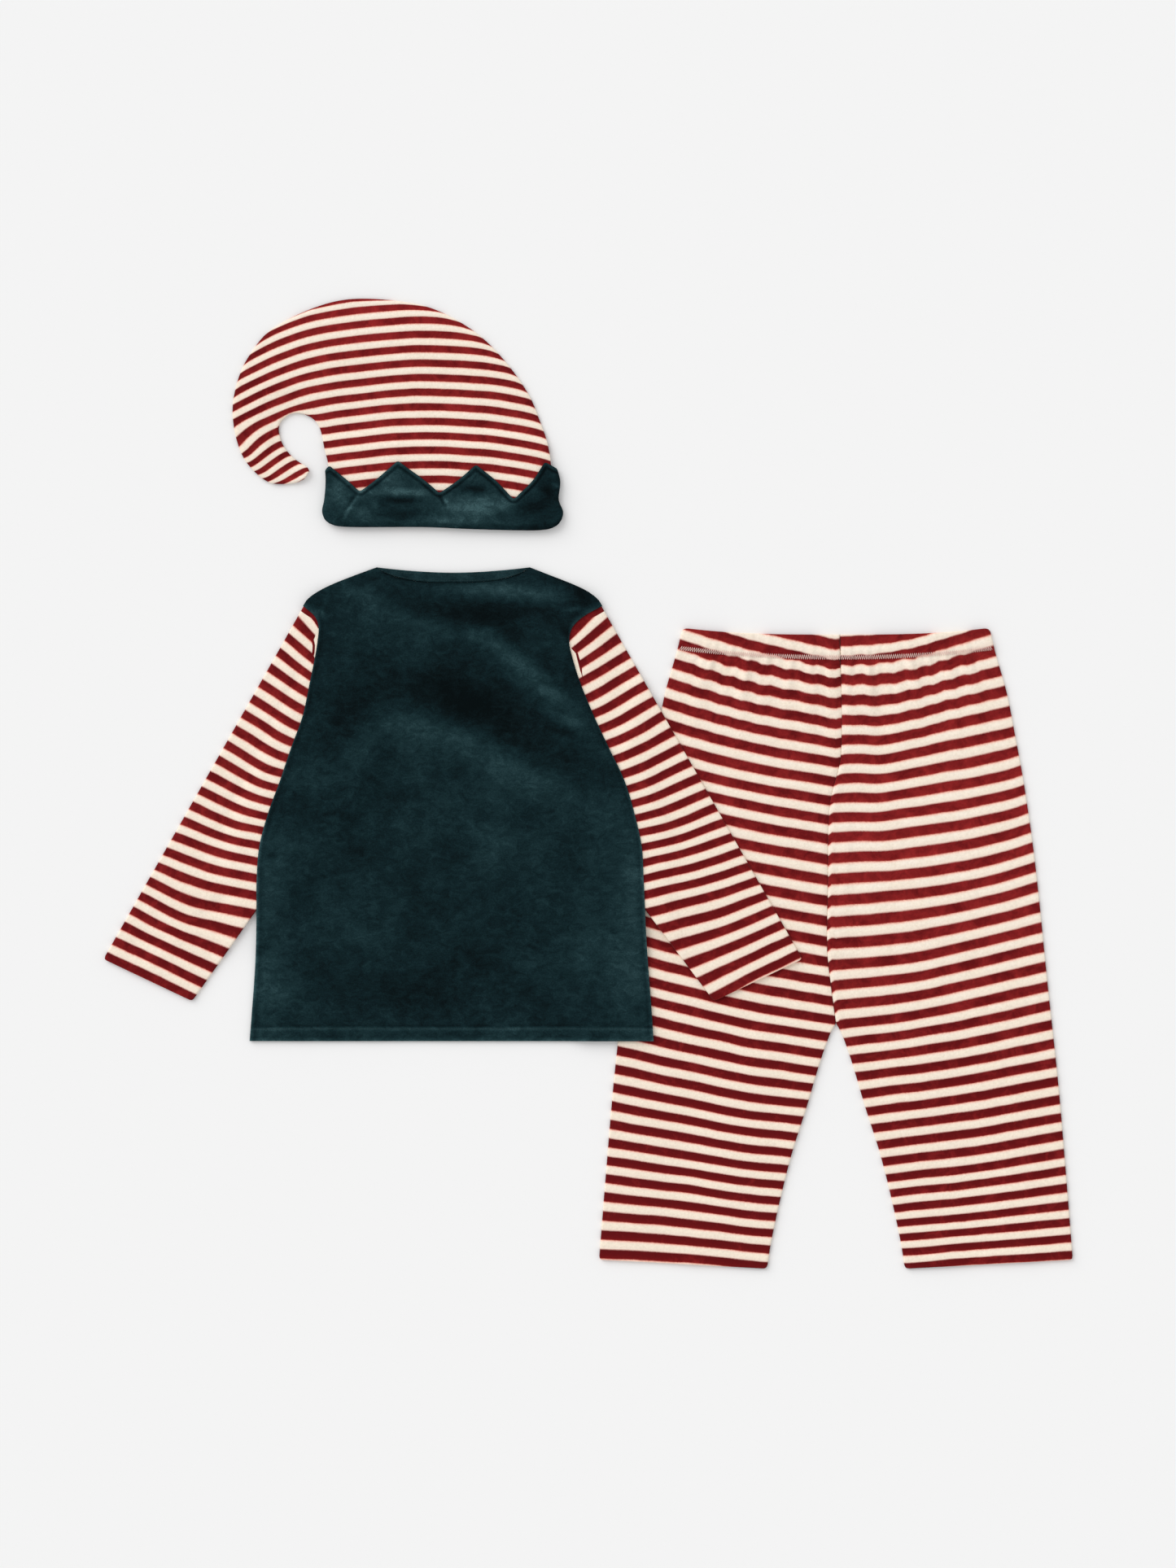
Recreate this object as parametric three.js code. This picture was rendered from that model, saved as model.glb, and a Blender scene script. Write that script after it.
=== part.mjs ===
// A child's elf costume laid flat: a curled striped hat, a velvet tunic seen from its back, and striped
// trousers. Millimetres, +Z up. The origin is in the middle of the set, on the surface that it lies on.
// Left and right are as seen from above, with the waist and the neck towards +Y.
import * as THREE from 'three';

// Driving dimensions
const CLOTH = 1.4; // one layer of velour or velvet
const SEAM = 0.3; // between two pieces at a seam, and between layers that lie on each other
const SLACK = 0.6; // between the two layers of a sleeve or a leg
const CASING_CLOTH = 2.4; // the turned waist casing
const BINDING_CLOTH = 2.0; // the folded neck binding
const BAND_CLOTH = 2.2; // the hat's band, two layers of velvet
const CROWN_LOFT = 2.6; // how far the middle of the crown's upper half stands off the under half
const CROWN_ROUNDING = 45; // width of the rounded rim over which it rises
const BODY_LOFT = 0.9; // the same for the tunic's back on its front
const BODY_ROUNDING = 60;
const GATHER_HEIGHT = 1.9; // rise of a gather under the waist casing
const GATHERS_PER_LEG = 8;
const GATHER_DRIFT = 0.12; // how far a gather strays from its even place, as a share of a gather
const GATHER_VARIATION = 0.2; // how much the gathers' heights differ
const DRAPE_RUN = 24; // length over which a layer comes down beside the one that it lies on
const DRAPE_MARGIN = 14; // how far past that layer it stays up
const LAYER_MARGIN = 8; // the same, more for each further layer on top
const UNDERARM_MARGIN = 19.6; // the same, for a sleeve's lower layer beside the tunic's front
const FOLD_STEPS = 4; // faces round half a fold

const TROUSERS_AT = new THREE.Vector2(255.8, 154.1); // middle of the waist
const TUNIC_AT = new THREE.Vector2(-140.7, -264.2); // middle of the hem
const HAT_AT = new THREE.Vector2(-149.1, 265); // middle of the band's lower edge

// Trousers: half widths, against the distance down from the waist
const SIDE_FOLD = [
  { down: -6.5, half: 158.5 },
  { down: 18.5, half: 164.5 },
  { down: 59, half: 176 },
  { down: 99, half: 184 },
  { down: 160, half: 195 },
  { down: 240, half: 206 },
  { down: 361, half: 218.5 },
  { down: 464, half: 229.5 },
  { down: 558, half: 237.5 },
  { down: 646, half: 244.5 },
];
const INSEAM = [
  { down: 401, half: 0.15 },
  { down: 412, half: 6 },
  { down: 440, half: 16 },
  { down: 487, half: 30 },
  { down: 534, half: 45 },
  { down: 581, half: 57 },
  { down: 628, half: 67 },
  { down: 654, half: 71 },
];
// How far the centre seam strays to the right of the middle
const CENTRE_SEAM = [
  { down: 0, right: 4 },
  { down: 124, right: 5 },
  { down: 176, right: -6.5 },
  { down: 263, right: -8.5 },
  { down: 326, right: -9 },
  { down: 364, right: -5 },
  { down: 401, right: 0 },
];
// Rows of a leg: how far down each one meets the centre seam or inseam, and the side fold; how late it bows
// up towards that fold; its cloth; and how much of the gathers' rise it has
const LEG_ROWS = [
  { inner: 0, side: -6.5, bow: 3, cloth: CASING_CLOTH, gather: 0.25 },
  { inner: 12, side: 4, bow: 2.6, cloth: CASING_CLOTH, gather: 0.3 },
  { inner: 23, side: 13, bow: 2.2, cloth: CASING_CLOTH, gather: 0.55 },
  { inner: 30, side: 21, bow: 2, cloth: CLOTH, gather: 1 },
  { inner: 46, side: 37, bow: 1.7, cloth: CLOTH, gather: 0.9 },
  { inner: 70, side: 61, bow: 1.5, cloth: CLOTH, gather: 0.55 },
  { inner: 104, side: 96, bow: 1.3, cloth: CLOTH, gather: 0.2 },
  { inner: 150, side: 142, bow: 1, cloth: CLOTH, gather: 0 },
  { inner: 215, side: 206, bow: 1, cloth: CLOTH, gather: 0 },
  { inner: 285, side: 275, bow: 1, cloth: CLOTH, gather: 0 },
  { inner: 350, side: 338, bow: 1, cloth: CLOTH, gather: 0 },
  { inner: 401, side: 388, bow: 1, cloth: CLOTH, gather: 0 },
  { inner: 432, side: 418, bow: 1, cloth: CLOTH, gather: 0 },
  { inner: 480, side: 466, bow: 1, cloth: CLOTH, gather: 0 },
  { inner: 534, side: 522, bow: 1, cloth: CLOTH, gather: 0 },
  { inner: 594, side: 584, bow: 1, cloth: CLOTH, gather: 0 },
  { inner: 654, side: 645, bow: 1, cloth: CLOTH, gather: 0 },
];
const SLIT_ROWS = 11; // rows above the crotch, where a leg is open along the centre seam

// Tunic: its sides, against the height above the hem
const TUNIC_SIDES = [
  { up: 0, left: 208.3, right: 208.3 },
  { up: 32, left: 205.8, right: 206.2 },
  { up: 66, left: 203.3, right: 203.6 },
  { up: 99, left: 201.5, right: 201.2 },
  { up: 133, left: 201, right: 199.5 },
  { up: 166, left: 200.8, right: 198 },
  { up: 200, left: 198, right: 196 },
  { up: 234, left: 189, right: 188.5 },
  { up: 267, left: 177, right: 178.5 },
  { up: 301, left: 165.5, right: 162.5 },
  { up: 334, left: 153.5, right: 147 },
  { up: 368, left: 146.2, right: 133 },
  { up: 396, left: 140.5, right: 124.2 },
  { up: 412, left: 138, right: 121.3 },
  { up: 426, left: 137, right: 125 },
  { up: 437, left: 141, right: 136.5 },
  { up: 447.7, left: 153, right: 155.5 },
];
// Shoulders, from the sleeve to the neck
const SHOULDERS = [
  { left: 153, right: 155.5, up: 447.7 },
  { left: 148, right: 150.5, up: 455 },
  { left: 137, right: 140, up: 463 },
  { left: 121.8, right: 124, up: 470.8 },
  { left: 98, right: 100, up: 480.2 },
  { left: 77.2, right: 80.6, up: 487.8 },
];
// The neck binding's two edges: how far each runs to the left and right, its height there and in the middle,
// and how square its curve is
const NECK = {
  backSeam: { left: 70.4, right: 74, end: 483, middle: 472.3, square: 3.2 },
  backEdge: { left: 76.4, right: 79.8, end: 488.3, middle: 482.2, square: 1.8 },
  frontSeam: { left: 70.4, right: 74, end: 483, middle: 418, square: 2.2 },
  frontEdge: { left: 64, right: 67.5, end: 486, middle: 427, square: 2.2 },
};

// The largest soft ridges in the tunic's back: from one point to another, its rise, and its width each way
const BACK_RIDGES = [
  { fromX: -72, fromY: 438, toX: 32, toY: 416, rise: 0.8, width: 24 },
  { fromX: 32, fromY: 416, toX: 132, toY: 324, rise: 1.4, width: 26 },
  { fromX: -150, fromY: 262, toX: -40, toY: 330, rise: 0.9, width: 34 },
  { fromX: -40, fromY: 330, toX: 100, toY: 258, rise: 0.9, width: 34 },
];

// Sleeves: the corners of the cuff, and the end that is hidden between the panels, from the side fold to the
// underarm
const SLEEVES = {
  left: {
    cuffOuter: [-359.2, 83.6],
    cuffInner: [-267.6, 40.2],
    end: [
      { across: -154.8, up: 446 },
      { across: -131.9, up: 430.1 },
      { across: -124.3, up: 401.5 },
      { across: -113.4, up: 349.4 },
      { across: -103.3, up: 307.4 },
      { across: -93, up: 286.4 },
    ],
  },
  right: {
    cuffOuter: [361.8, 83.8],
    cuffInner: [270.5, 40.3],
    end: [
      { across: 156.6, up: 446 },
      { across: 116, up: 426 },
      { across: 108.4, up: 401.5 },
      { across: 100.8, up: 349.4 },
      { across: 93.2, up: 307.4 },
      { across: 85.5, up: 286.4 },
    ],
  },
};
const SLEEVE_END_AT = [0, 0.12, 0.3, 0.6, 0.85, 1]; // share of the sleeve's width at each of those points

// Hat: sections of the curled crown, from the band to the tip, each from its outer to its inner edge
const CROWN = [
  { outerX: 112, outerY: 2.5, innerX: -114, innerY: 2.5 },
  { outerX: 111.5, outerY: 36, innerX: -114.5, innerY: 36 },
  { outerX: 111, outerY: 63.8, innerX: -118.2, innerY: 62.2 },
  { outerX: 107.5, outerY: 85.7, innerX: -123, innerY: 82.3 },
  { outerX: 100.8, outerY: 105.8, innerX: -125.2, innerY: 94.1 },
  { outerX: 88.2, outerY: 136.1, innerX: -128.5, innerY: 104.2 },
  { outerX: 64.7, outerY: 169.7, innerX: -134.4, innerY: 111.7 },
  { outerX: 34.4, outerY: 199.9, innerX: -142, innerY: 115.9 },
  { outerX: -5.9, outerY: 223.4, innerX: -148.7, innerY: 117.6 },
  { outerX: -46.2, outerY: 233.2, innerX: -154.6, innerY: 117.6 },
  { outerX: -96.6, outerY: 235.2, innerX: -159.6, innerY: 115.9 },
  { outerX: -136.9, outerY: 225, innerX: -164.2, innerY: 112.6 },
  { outerX: -177.2, outerY: 204.1, innerX: -168, innerY: 108.4 },
  { outerX: -197.4, outerY: 181.4, innerX: -169.7, innerY: 103.3 },
  { outerX: -210, outerY: 157.9, innerX: -169.7, innerY: 98.3 },
  { outerX: -217.1, outerY: 128.5, innerX: -168, innerY: 90.7 },
  { outerX: -215.9, outerY: 101.6, innerX: -165.1, innerY: 84 },
  { outerX: -208.3, outerY: 75.6, innerX: -160.4, innerY: 77.3 },
  { outerX: -195.7, outerY: 58, innerX: -154.6, innerY: 71.4 },
  { outerX: -179.8, outerY: 46.2, innerX: -147.8, innerY: 66.4 },
  { outerX: -163.8, outerY: 44.6, innerX: -142.8, innerY: 63.4 },
  { outerX: -150.4, outerY: 46.2, innerX: -139.4, innerY: 60.5 },
  { outerX: -143, outerY: 50, innerX: -138.2, innerY: 57.1 },
];
// The band's pointed upper edge, and its two sides
const BAND_POINTS = [
  { across: 0, up: 60.5 },
  { across: 0.15, up: 36 },
  { across: 0.32, up: 68 },
  { across: 0.49, up: 34.5 },
  { across: 0.655, up: 64 },
  { across: 0.81, up: 28 },
  { across: 0.955, up: 67 },
  { across: 1, up: 60 },
];
const BAND_SIDES = [
  { up: 2, left: 119.5, right: 120 },
  { up: 15, left: 125, right: 123.5 },
  { up: 28, left: 123, right: 119 },
  { up: 47, left: 121.5, right: 120.5 },
  { up: 63, left: 122.5, right: 116.5 },
];
const BAND_HEM = [
  { across: 0, up: 2.5 },
  { across: 0.15, up: 0 },
  { across: 0.42, up: 0 },
  { across: 0.62, up: -2 },
  { across: 0.87, up: -3.4 },
  { across: 1, up: 2.5 },
];

const STRIPED = { color: 0xb4867c, roughness: 0.92, metalness: 0 };
const VELVET = { color: 0x14252b, roughness: 0.85, metalness: 0 };

const { clamp, lerp, smoothstep } = THREE.MathUtils;

// A smooth curve through the rows of a table: one column as a function of another
function through(rows, from, to) {
  const slopes = rows.map((row, i) => {
    const before = rows[Math.max(i - 1, 0)];
    const after = rows[Math.min(i + 1, rows.length - 1)];
    return (after[to] - before[to]) / (after[from] - before[from]);
  });
  const direction = Math.sign(rows[rows.length - 1][from] - rows[0][from]);
  return (at) => {
    let i = 0;
    while (i < rows.length - 2 && (at - rows[i + 1][from]) * direction > 0) i += 1;
    const span = rows[i + 1][from] - rows[i][from];
    const t = clamp((at - rows[i][from]) / span, 0, 1);
    const start = rows[i][to] * (1 + 2 * t) * (1 - t) ** 2 + span * slopes[i] * t * (1 - t) ** 2;
    const end = rows[i + 1][to] * t * t * (3 - 2 * t) + span * slopes[i + 1] * t * t * (t - 1);
    return start + end;
  };
}

// Straight lines through a list of points [x, y], at a share of the list's own stops
function alongPoints(points, stops) {
  return (share) => {
    let i = 0;
    while (i < stops.length - 2 && share > stops[i + 1]) i += 1;
    const t = (share - stops[i]) / (stops[i + 1] - stops[i]);
    return [lerp(points[i][0], points[i + 1][0], t), lerp(points[i][1], points[i + 1][1], t)];
  };
}

function steps(count) {
  return Array.from({ length: count + 1 }, (_, i) => i / count);
}

// Distance of (x, y) from a closed outline of points [x, y], negative inside it
function distanceOutside(outline, x, y) {
  let nearest = Infinity;
  let inside = false;
  outline.forEach(([ax, ay], i) => {
    const [bx, by] = outline[(i + 1) % outline.length];
    const dx = bx - ax;
    const dy = by - ay;
    const t = clamp(((x - ax) * dx + (y - ay) * dy) / (dx * dx + dy * dy), 0, 1);
    nearest = Math.min(nearest, Math.hypot(x - ax - t * dx, y - ay - t * dy));
    if (ay > y !== by > y && x < ax + ((y - ay) * dx) / dy) inside = !inside;
  });
  return inside ? -nearest : nearest;
}

// A rise from 0 to 1 that is steep at first and then levels out
function roundedRise(share) {
  return 1 - (1 - clamp(share, 0, 1)) ** 2;
}

// The rise of a soft ridge at (x, y), highest along its line
function ridgeRise({ fromX, fromY, toX, toY, rise, width }, x, y) {
  const line = new THREE.Line3(new THREE.Vector3(fromX, fromY, 0), new THREE.Vector3(toX, toY, 0));
  const point = new THREE.Vector3(x, y, 0);
  const distance = line.closestPointToPoint(point, true, new THREE.Vector3()).distanceTo(point);
  return rise * (1 - smoothstep(distance, 0, width));
}

// How far cloth is lifted at (x, y) by a piece of that height and outline that it lies on
function liftOver(outline, height, margin) {
  return (x, y) => height * (1 - smoothstep(distanceOutside(outline, x, y), margin, margin + DRAPE_RUN));
}

// A closed wall between two grids of points, each a list of rows. From row `ringFrom` on, each row's last
// point is its first.
function closedWall(upper, lower, ringFrom = Infinity) {
  const rows = upper.length;
  const columns = upper[0].length;
  const positions = [];
  const index = [upper, lower].map((grid) => grid.map((row, r) => {
    const numbers = row.map((point, c) => {
      if (r >= ringFrom && c === columns - 1) return -1;
      positions.push(...point);
      return positions.length / 3 - 1;
    });
    return numbers.map((number) => (number < 0 ? numbers[0] : number));
  }));
  const [top, bottom] = index;
  const triangles = [];
  const quad = (a, b, c, d) => triangles.push(a, b, c, a, c, d);
  for (let r = 0; r < rows - 1; r += 1) {
    for (let c = 0; c < columns - 1; c += 1) {
      quad(top[r][c], top[r + 1][c], top[r + 1][c + 1], top[r][c + 1]);
      quad(bottom[r][c], bottom[r][c + 1], bottom[r + 1][c + 1], bottom[r + 1][c]);
    }
    if (r < ringFrom) {
      const last = columns - 1;
      quad(top[r][0], bottom[r][0], bottom[r + 1][0], top[r + 1][0]);
      quad(top[r][last], top[r + 1][last], bottom[r + 1][last], bottom[r][last]);
    }
  }
  const end = rows - 1;
  for (let c = 0; c < columns - 1; c += 1) {
    quad(top[0][c], top[0][c + 1], bottom[0][c + 1], bottom[0][c]);
    quad(top[end][c], bottom[end][c], bottom[end][c + 1], top[end][c + 1]);
  }
  return outwardGeometry(positions, triangles);
}

// A geometry whose faces point out, whichever way round its triangles were listed
function outwardGeometry(positions, triangles) {
  let volume = 0;
  const corner = [0, 1, 2].map(() => new THREE.Vector3());
  for (let i = 0; i < triangles.length; i += 3) {
    corner.forEach((vertex, k) => vertex.fromArray(positions, 3 * triangles[i + k]));
    volume += corner[0].dot(corner[1].clone().cross(corner[2]));
  }
  if (volume < 0) triangles.reverse();
  const geometry = new THREE.BufferGeometry();
  geometry.setAttribute('position', new THREE.Float32BufferAttribute(positions, 3));
  geometry.setIndex(triangles);
  geometry.computeVertexNormals();
  return geometry;
}

// A single layer: place(across, along) gives [x, y], under(x, y) the height of its lower face
function panel({ across, along, place, under, cloth }) {
  const lower = along.map((v) => across.map((u) => {
    const [x, y] = place(u, v);
    return [x, y, under(x, y)];
  }));
  const upper = lower.map((row) => row.map(([x, y, z]) => [x, y, z + cloth]));
  return closedWall(upper, lower);
}

// A tube pressed flat, with a round fold along each side. Its rows run along it; place(across, row) gives
// [x, y], with 0 at its inner edge and 1 at its outer one. Above `slitRows` it is open along the inner edge.
function flatTube({ rows, across, underSteps, place, under, slack, ripple = () => 0, slitRows = 0 }) {
  const outer = [];
  const inner = [];
  rows.forEach((row, r) => {
    const [x0, y0] = place(0, r);
    const [x1, y1] = place(1, r);
    const width = Math.hypot(x1 - x0, y1 - y0);
    const section = tubeSection(row.cloth, slack, width, across, underSteps, r < slitRows, place, r);
    const raise = (share, z, isUpper) => {
      const [x, y] = place(share, r);
      return [x, y, z + under(x, y) + (isUpper ? ripple(share, row) : 0)];
    };
    outer.push(section.map((point) => raise(point.outer, point.outerZ, point.isUpper)));
    inner.push(section.map((point) => raise(point.inner, point.innerZ, point.isUpper)));
  });
  return closedWall(outer, inner, slitRows);
}

// The section of a flat tube, from its inner edge over the upper layer, round the outer fold and back under
function tubeSection(cloth, slack, width, across, underSteps, isSlit, place, row) {
  const slackAt = (share) => (typeof slack === 'function' ? slack(...place(share, row)) : slack);
  const point = (outer, outerZ, inner, innerZ, isUpper) => ({ outer, outerZ, inner, innerZ, isUpper });
  // Round a fold at either edge: the angle is 90 at the upper layer and -90 at the lower one
  const fold = (atOuterEdge, degrees) => {
    const space = slackAt(atOuterEdge ? 1 : 0);
    const radius = cloth + space / 2;
    const angle = THREE.MathUtils.degToRad(degrees);
    const reach = [radius * (1 - Math.cos(angle)), radius - (space / 2) * Math.cos(angle)];
    const shares = reach.map((mm) => (atOuterEdge ? 1 - mm / width : mm / width));
    const lift = Math.sin(angle);
    return point(shares[0], radius * (1 + lift), shares[1], radius + (space / 2) * lift, degrees > 0);
  };
  const straight = (share, isUpper) => {
    const top = 2 * cloth + slackAt(share);
    return isUpper ? point(share, top, share, top - cloth, true) : point(share, 0, share, cloth, false);
  };
  const edge = (cloth + slackAt(0) / 2) / width;
  const farEdge = 1 - (cloth + slackAt(1) / 2) / width;
  const upperShares = across.map((share) => lerp(edge, farEdge, share));
  const lowerShares = underSteps.map((share) => lerp(farEdge, edge, share));
  const halfFold = [0, 0.5];
  const start = halfFold.map((t) => (isSlit ? straight(edge * t, true) : fold(false, lerp(0, 90, t))));
  const finish = halfFold.map((t) => (isSlit ? straight(edge * t, false) : fold(false, lerp(0, -90, t))));
  const round = steps(FOLD_STEPS).slice(1, -1).map((t) => fold(true, lerp(90, -90, t)));
  const upper = upperShares.map((share) => straight(share, true));
  const lower = lowerShares.map((share) => straight(share, false));
  return [...start, ...upper, ...round, ...lower, ...finish.reverse()];
}

function piece(name, geometry, look) {
  const mesh = new THREE.Mesh(geometry, new THREE.MeshStandardMaterial(look));
  mesh.name = name;
  return mesh;
}

// Trousers
const sideFold = through(SIDE_FOLD, 'down', 'half');
const inseam = through(INSEAM, 'down', 'half');
const centreSeam = through(CENTRE_SEAM, 'down', 'right');

function leg(side) {
  const place = (share, r) => {
    const row = LEG_ROWS[r];
    const isSlit = r < SLIT_ROWS;
    const seamX = isSlit ? centreSeam(row.inner) + (side * SEAM) / 2 : side * inseam(row.inner);
    return [lerp(seamX, side * sideFold(row.side), share), -lerp(row.inner, row.side, share ** row.bow)];
  };
  // The gathers are uneven, and die out towards the side fold
  const ripple = (share, row) => {
    const turns = GATHERS_PER_LEG * share + GATHER_DRIFT * Math.sin(11 * share);
    const height = 1 - GATHER_VARIATION * (1 - Math.sin(17 * share + side));
    const wave = (0.5 - 0.5 * Math.cos(2 * Math.PI * turns)) * height;
    return GATHER_HEIGHT * row.gather * wave * smoothstep(1 - share, 0.04, 0.18);
  };
  return flatTube({
    rows: LEG_ROWS,
    across: steps(GATHERS_PER_LEG * 4),
    underSteps: steps(6),
    place,
    under: () => 0,
    slack: SLACK,
    ripple,
    slitRows: SLIT_ROWS,
  });
}

function makeTrousers() {
  const group = new THREE.Group();
  group.position.set(TROUSERS_AT.x, TROUSERS_AT.y, 0);
  group.add(piece('leg_left', leg(-1), STRIPED));
  group.add(piece('leg_right', leg(1), STRIPED));
  return group;
}

// The left leg's outline, as seen from the tunic
const trousersOutline = [
  ...SIDE_FOLD.map(({ down, half }) => [-half, -down]),
  ...[...INSEAM].reverse().map(({ down, half }) => [-half, -down]),
  [0, 0],
].map(([x, y]) => [x + TROUSERS_AT.x - TUNIC_AT.x, y + TROUSERS_AT.y - TUNIC_AT.y]);
const tubeHeight = 2 * CLOTH + SLACK + SEAM;
const overTrousers = (layer) => liftOver(trousersOutline, tubeHeight, DRAPE_MARGIN + LAYER_MARGIN * layer);

// Tunic
const leftSide = through(TUNIC_SIDES, 'up', 'left');
const rightSide = through(TUNIC_SIDES, 'up', 'right');
const bodyOutline = [
  ...TUNIC_SIDES.map(({ up, left }) => [-left, up]),
  ...[...TUNIC_SIDES].reverse().map(({ up, right }) => [right, up]),
];
const sleeveOutlines = Object.values(SLEEVES).map(({ cuffOuter, cuffInner, end }) => (
  [...end.map(({ across, up }) => [across, up]), cuffInner, cuffOuter]
));

// A panel between the tunic's sides, from the hem to `top`, a list of points [x, y] from left to right
function bodyPlace(top, stops) {
  const topAt = alongPoints(top, stops);
  const corner = TUNIC_SIDES[TUNIC_SIDES.length - 1];
  return (u, v) => {
    const [topX, topY] = topAt(u);
    const up = v * corner.up;
    // Nearer the top, only the outermost columns follow the sides
    const pull = 1 + 7 * v ** 4;
    const left = (leftSide(up) - corner.left) * (1 - u) ** pull;
    const right = (rightSide(up) - corner.right) * u ** pull;
    return [topX - left + right, up + (topY - corner.up) * v];
  };
}

// The top edge of a panel: the left shoulder, the neck's seam, the right shoulder
function topEdge(neckSeam) {
  const left = SHOULDERS.map(({ left: x, up }) => [-x, up]);
  const right = [...SHOULDERS].reverse().map(({ right: x, up }) => [x, up]);
  return [...left, ...neckCurve(neckSeam), ...right];
}

function neckCurve({ left, right, end, middle, square }) {
  return steps(10).map((share) => {
    const swing = Math.abs(2 * share - 1) ** square;
    return [lerp(-left, right, share), lerp(middle, end, swing)];
  });
}

const overFront = CLOTH + SEAM;

function bodyPanel(neckSeam, under) {
  const top = topEdge(neckSeam);
  const widest = top[top.length - 1][0] - top[0][0];
  const stops = top.map(([x]) => (x - top[0][0]) / widest);
  return panel({
    across: stops,
    along: TUNIC_SIDES.map(({ up }) => up / TUNIC_SIDES[TUNIC_SIDES.length - 1].up),
    place: bodyPlace(top, stops),
    under,
    cloth: CLOTH,
  });
}

// Half of the binding, from its seam with a panel to the neck's edge
function neckBand(seam, edge, under, cloth) {
  const lower = neckCurve(seam).map(([x, y]) => [x * (1 - SEAM / seam.left), y + SEAM]);
  const upper = neckCurve(edge);
  return panel({
    across: steps(lower.length - 1),
    along: [0, 0.5, 1],
    place: (share, along) => {
      const i = Math.round(share * (lower.length - 1));
      return [lerp(lower[i][0], upper[i][0], along), lerp(lower[i][1], upper[i][1], along)];
    },
    under,
    cloth,
  });
}

function sleeve({ cuffOuter, cuffInner, end }) {
  const endAt = alongPoints(end.map(({ across, up }) => [across, up]), SLEEVE_END_AT);
  const rows = steps(12).map((along) => ({ along, cloth: CLOTH }));
  // The tube's outer edge is the sleeve's side fold
  const place = (share, r) => {
    const fromFold = 1 - share;
    const [x, y] = endAt(fromFold);
    const cuff = [0, 1].map((k) => lerp(cuffOuter[k], cuffInner[k], fromFold));
    return [lerp(x, cuff[0], rows[r].along), lerp(y, cuff[1], rows[r].along)];
  };
  const onFront = liftOver(bodyOutline, overFront + SEAM, UNDERARM_MARGIN);
  const onTrousers = overTrousers(1);
  const under = (x, y) => onFront(x, y) + onTrousers(x, y);
  return flatTube({ rows, across: steps(9), underSteps: steps(6), place, under, slack: SLACK });
}

function makeTunic() {
  const group = new THREE.Group();
  group.position.set(TUNIC_AT.x, TUNIC_AT.y, 0);
  const onTrousers = overTrousers(0);
  const backOnTrousers = overTrousers(2);
  const onSleeves = sleeveOutlines.map((outline) => liftOver(outline, tubeHeight + SEAM, DRAPE_MARGIN));
  const loft = (x, y) => BODY_LOFT * smoothstep(-distanceOutside(bodyOutline, x, y), 0, BODY_ROUNDING);
  const ridges = (x, y) => Math.max(...BACK_RIDGES.map((ridge) => ridgeRise(ridge, x, y)));
  const sleeves = (x, y) => Math.max(...onSleeves.map((lift) => lift(x, y)));
  const underBack = (x, y) => overFront + backOnTrousers(x, y) + loft(x, y) + ridges(x, y) + sleeves(x, y);
  group.add(piece('tunic_front', bodyPanel(NECK.frontSeam, onTrousers), VELVET));
  group.add(piece('neck_band_front', neckBand(NECK.frontSeam, NECK.frontEdge, onTrousers, CLOTH), VELVET));
  group.add(piece('sleeve_left', sleeve(SLEEVES.left), STRIPED));
  group.add(piece('sleeve_right', sleeve(SLEEVES.right), STRIPED));
  group.add(piece('tunic_back', bodyPanel(NECK.backSeam, underBack), VELVET));
  const backBinding = neckBand(NECK.backSeam, NECK.backEdge, underBack, BINDING_CLOTH);
  group.add(piece('neck_band_back', backBinding, VELVET));
  return group;
}

// Hat
const crownOutline = [
  ...CROWN.map(({ outerX, outerY }) => [outerX, outerY]),
  ...[...CROWN].reverse().map(({ innerX, innerY }) => [innerX, innerY]),
];
// The band's outline as the crown's under half meets it, without the notches between its points
const bandOutline = [[-120, -3], [-120, 62], [0, 68], [117, 66], [120, -3]];
const onBand = liftOver(bandOutline, BAND_CLOTH + SEAM, DRAPE_MARGIN);
const crownLoft = (x, y) => CROWN_LOFT * roundedRise(-distanceOutside(crownOutline, x, y) / CROWN_ROUNDING);
const underCrownTop = (x, y) => onBand(x, y) + CLOTH + SEAM + crownLoft(x, y);

function crownHalf(under) {
  const place = (share, along) => {
    const { outerX, outerY, innerX, innerY } = CROWN[Math.round(along * (CROWN.length - 1))];
    return [lerp(outerX, innerX, share), lerp(outerY, innerY, share)];
  };
  return panel({ across: steps(9), along: steps(CROWN.length - 1), place, under, cloth: CLOTH });
}

function band() {
  const leftEdge = through(BAND_SIDES, 'up', 'left');
  const rightEdge = through(BAND_SIDES, 'up', 'right');
  const hem = through(BAND_HEM, 'across', 'up');
  const rows = steps(4).map((along) => ({ along, cloth: BAND_CLOTH }));
  const points = BAND_POINTS.map(({ across, up }) => [across, up]);
  const pointsAt = alongPoints(points, points.map(([across]) => across));
  const across = points.flatMap(([at], i) => (i === 0 ? [at] : [lerp(points[i - 1][0], at, 0.5), at]));
  const place = (share, r) => {
    const y = lerp(hem(share), pointsAt(share)[1], rows[r].along);
    return [lerp(-leftEdge(y), rightEdge(y), share), y];
  };
  const crownStack = (x, y) => underCrownTop(x, y) + CLOTH + SEAM + SEAM - BAND_CLOTH;
  return flatTube({
    rows,
    across,
    underSteps: [...across].reverse().map((at) => 1 - at),
    place,
    under: () => 0,
    slack: crownStack,
  });
}

function makeHat() {
  const group = new THREE.Group();
  group.position.set(HAT_AT.x, HAT_AT.y, 0);
  group.add(piece('hat_crown_under', crownHalf(onBand), STRIPED));
  group.add(piece('hat_crown_top', crownHalf(underCrownTop), STRIPED));
  group.add(piece('hat_band', band(), VELVET));
  return group;
}

const costume = new THREE.Group();
costume.add(makeTrousers(), makeTunic(), makeHat());

export default costume;
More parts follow.
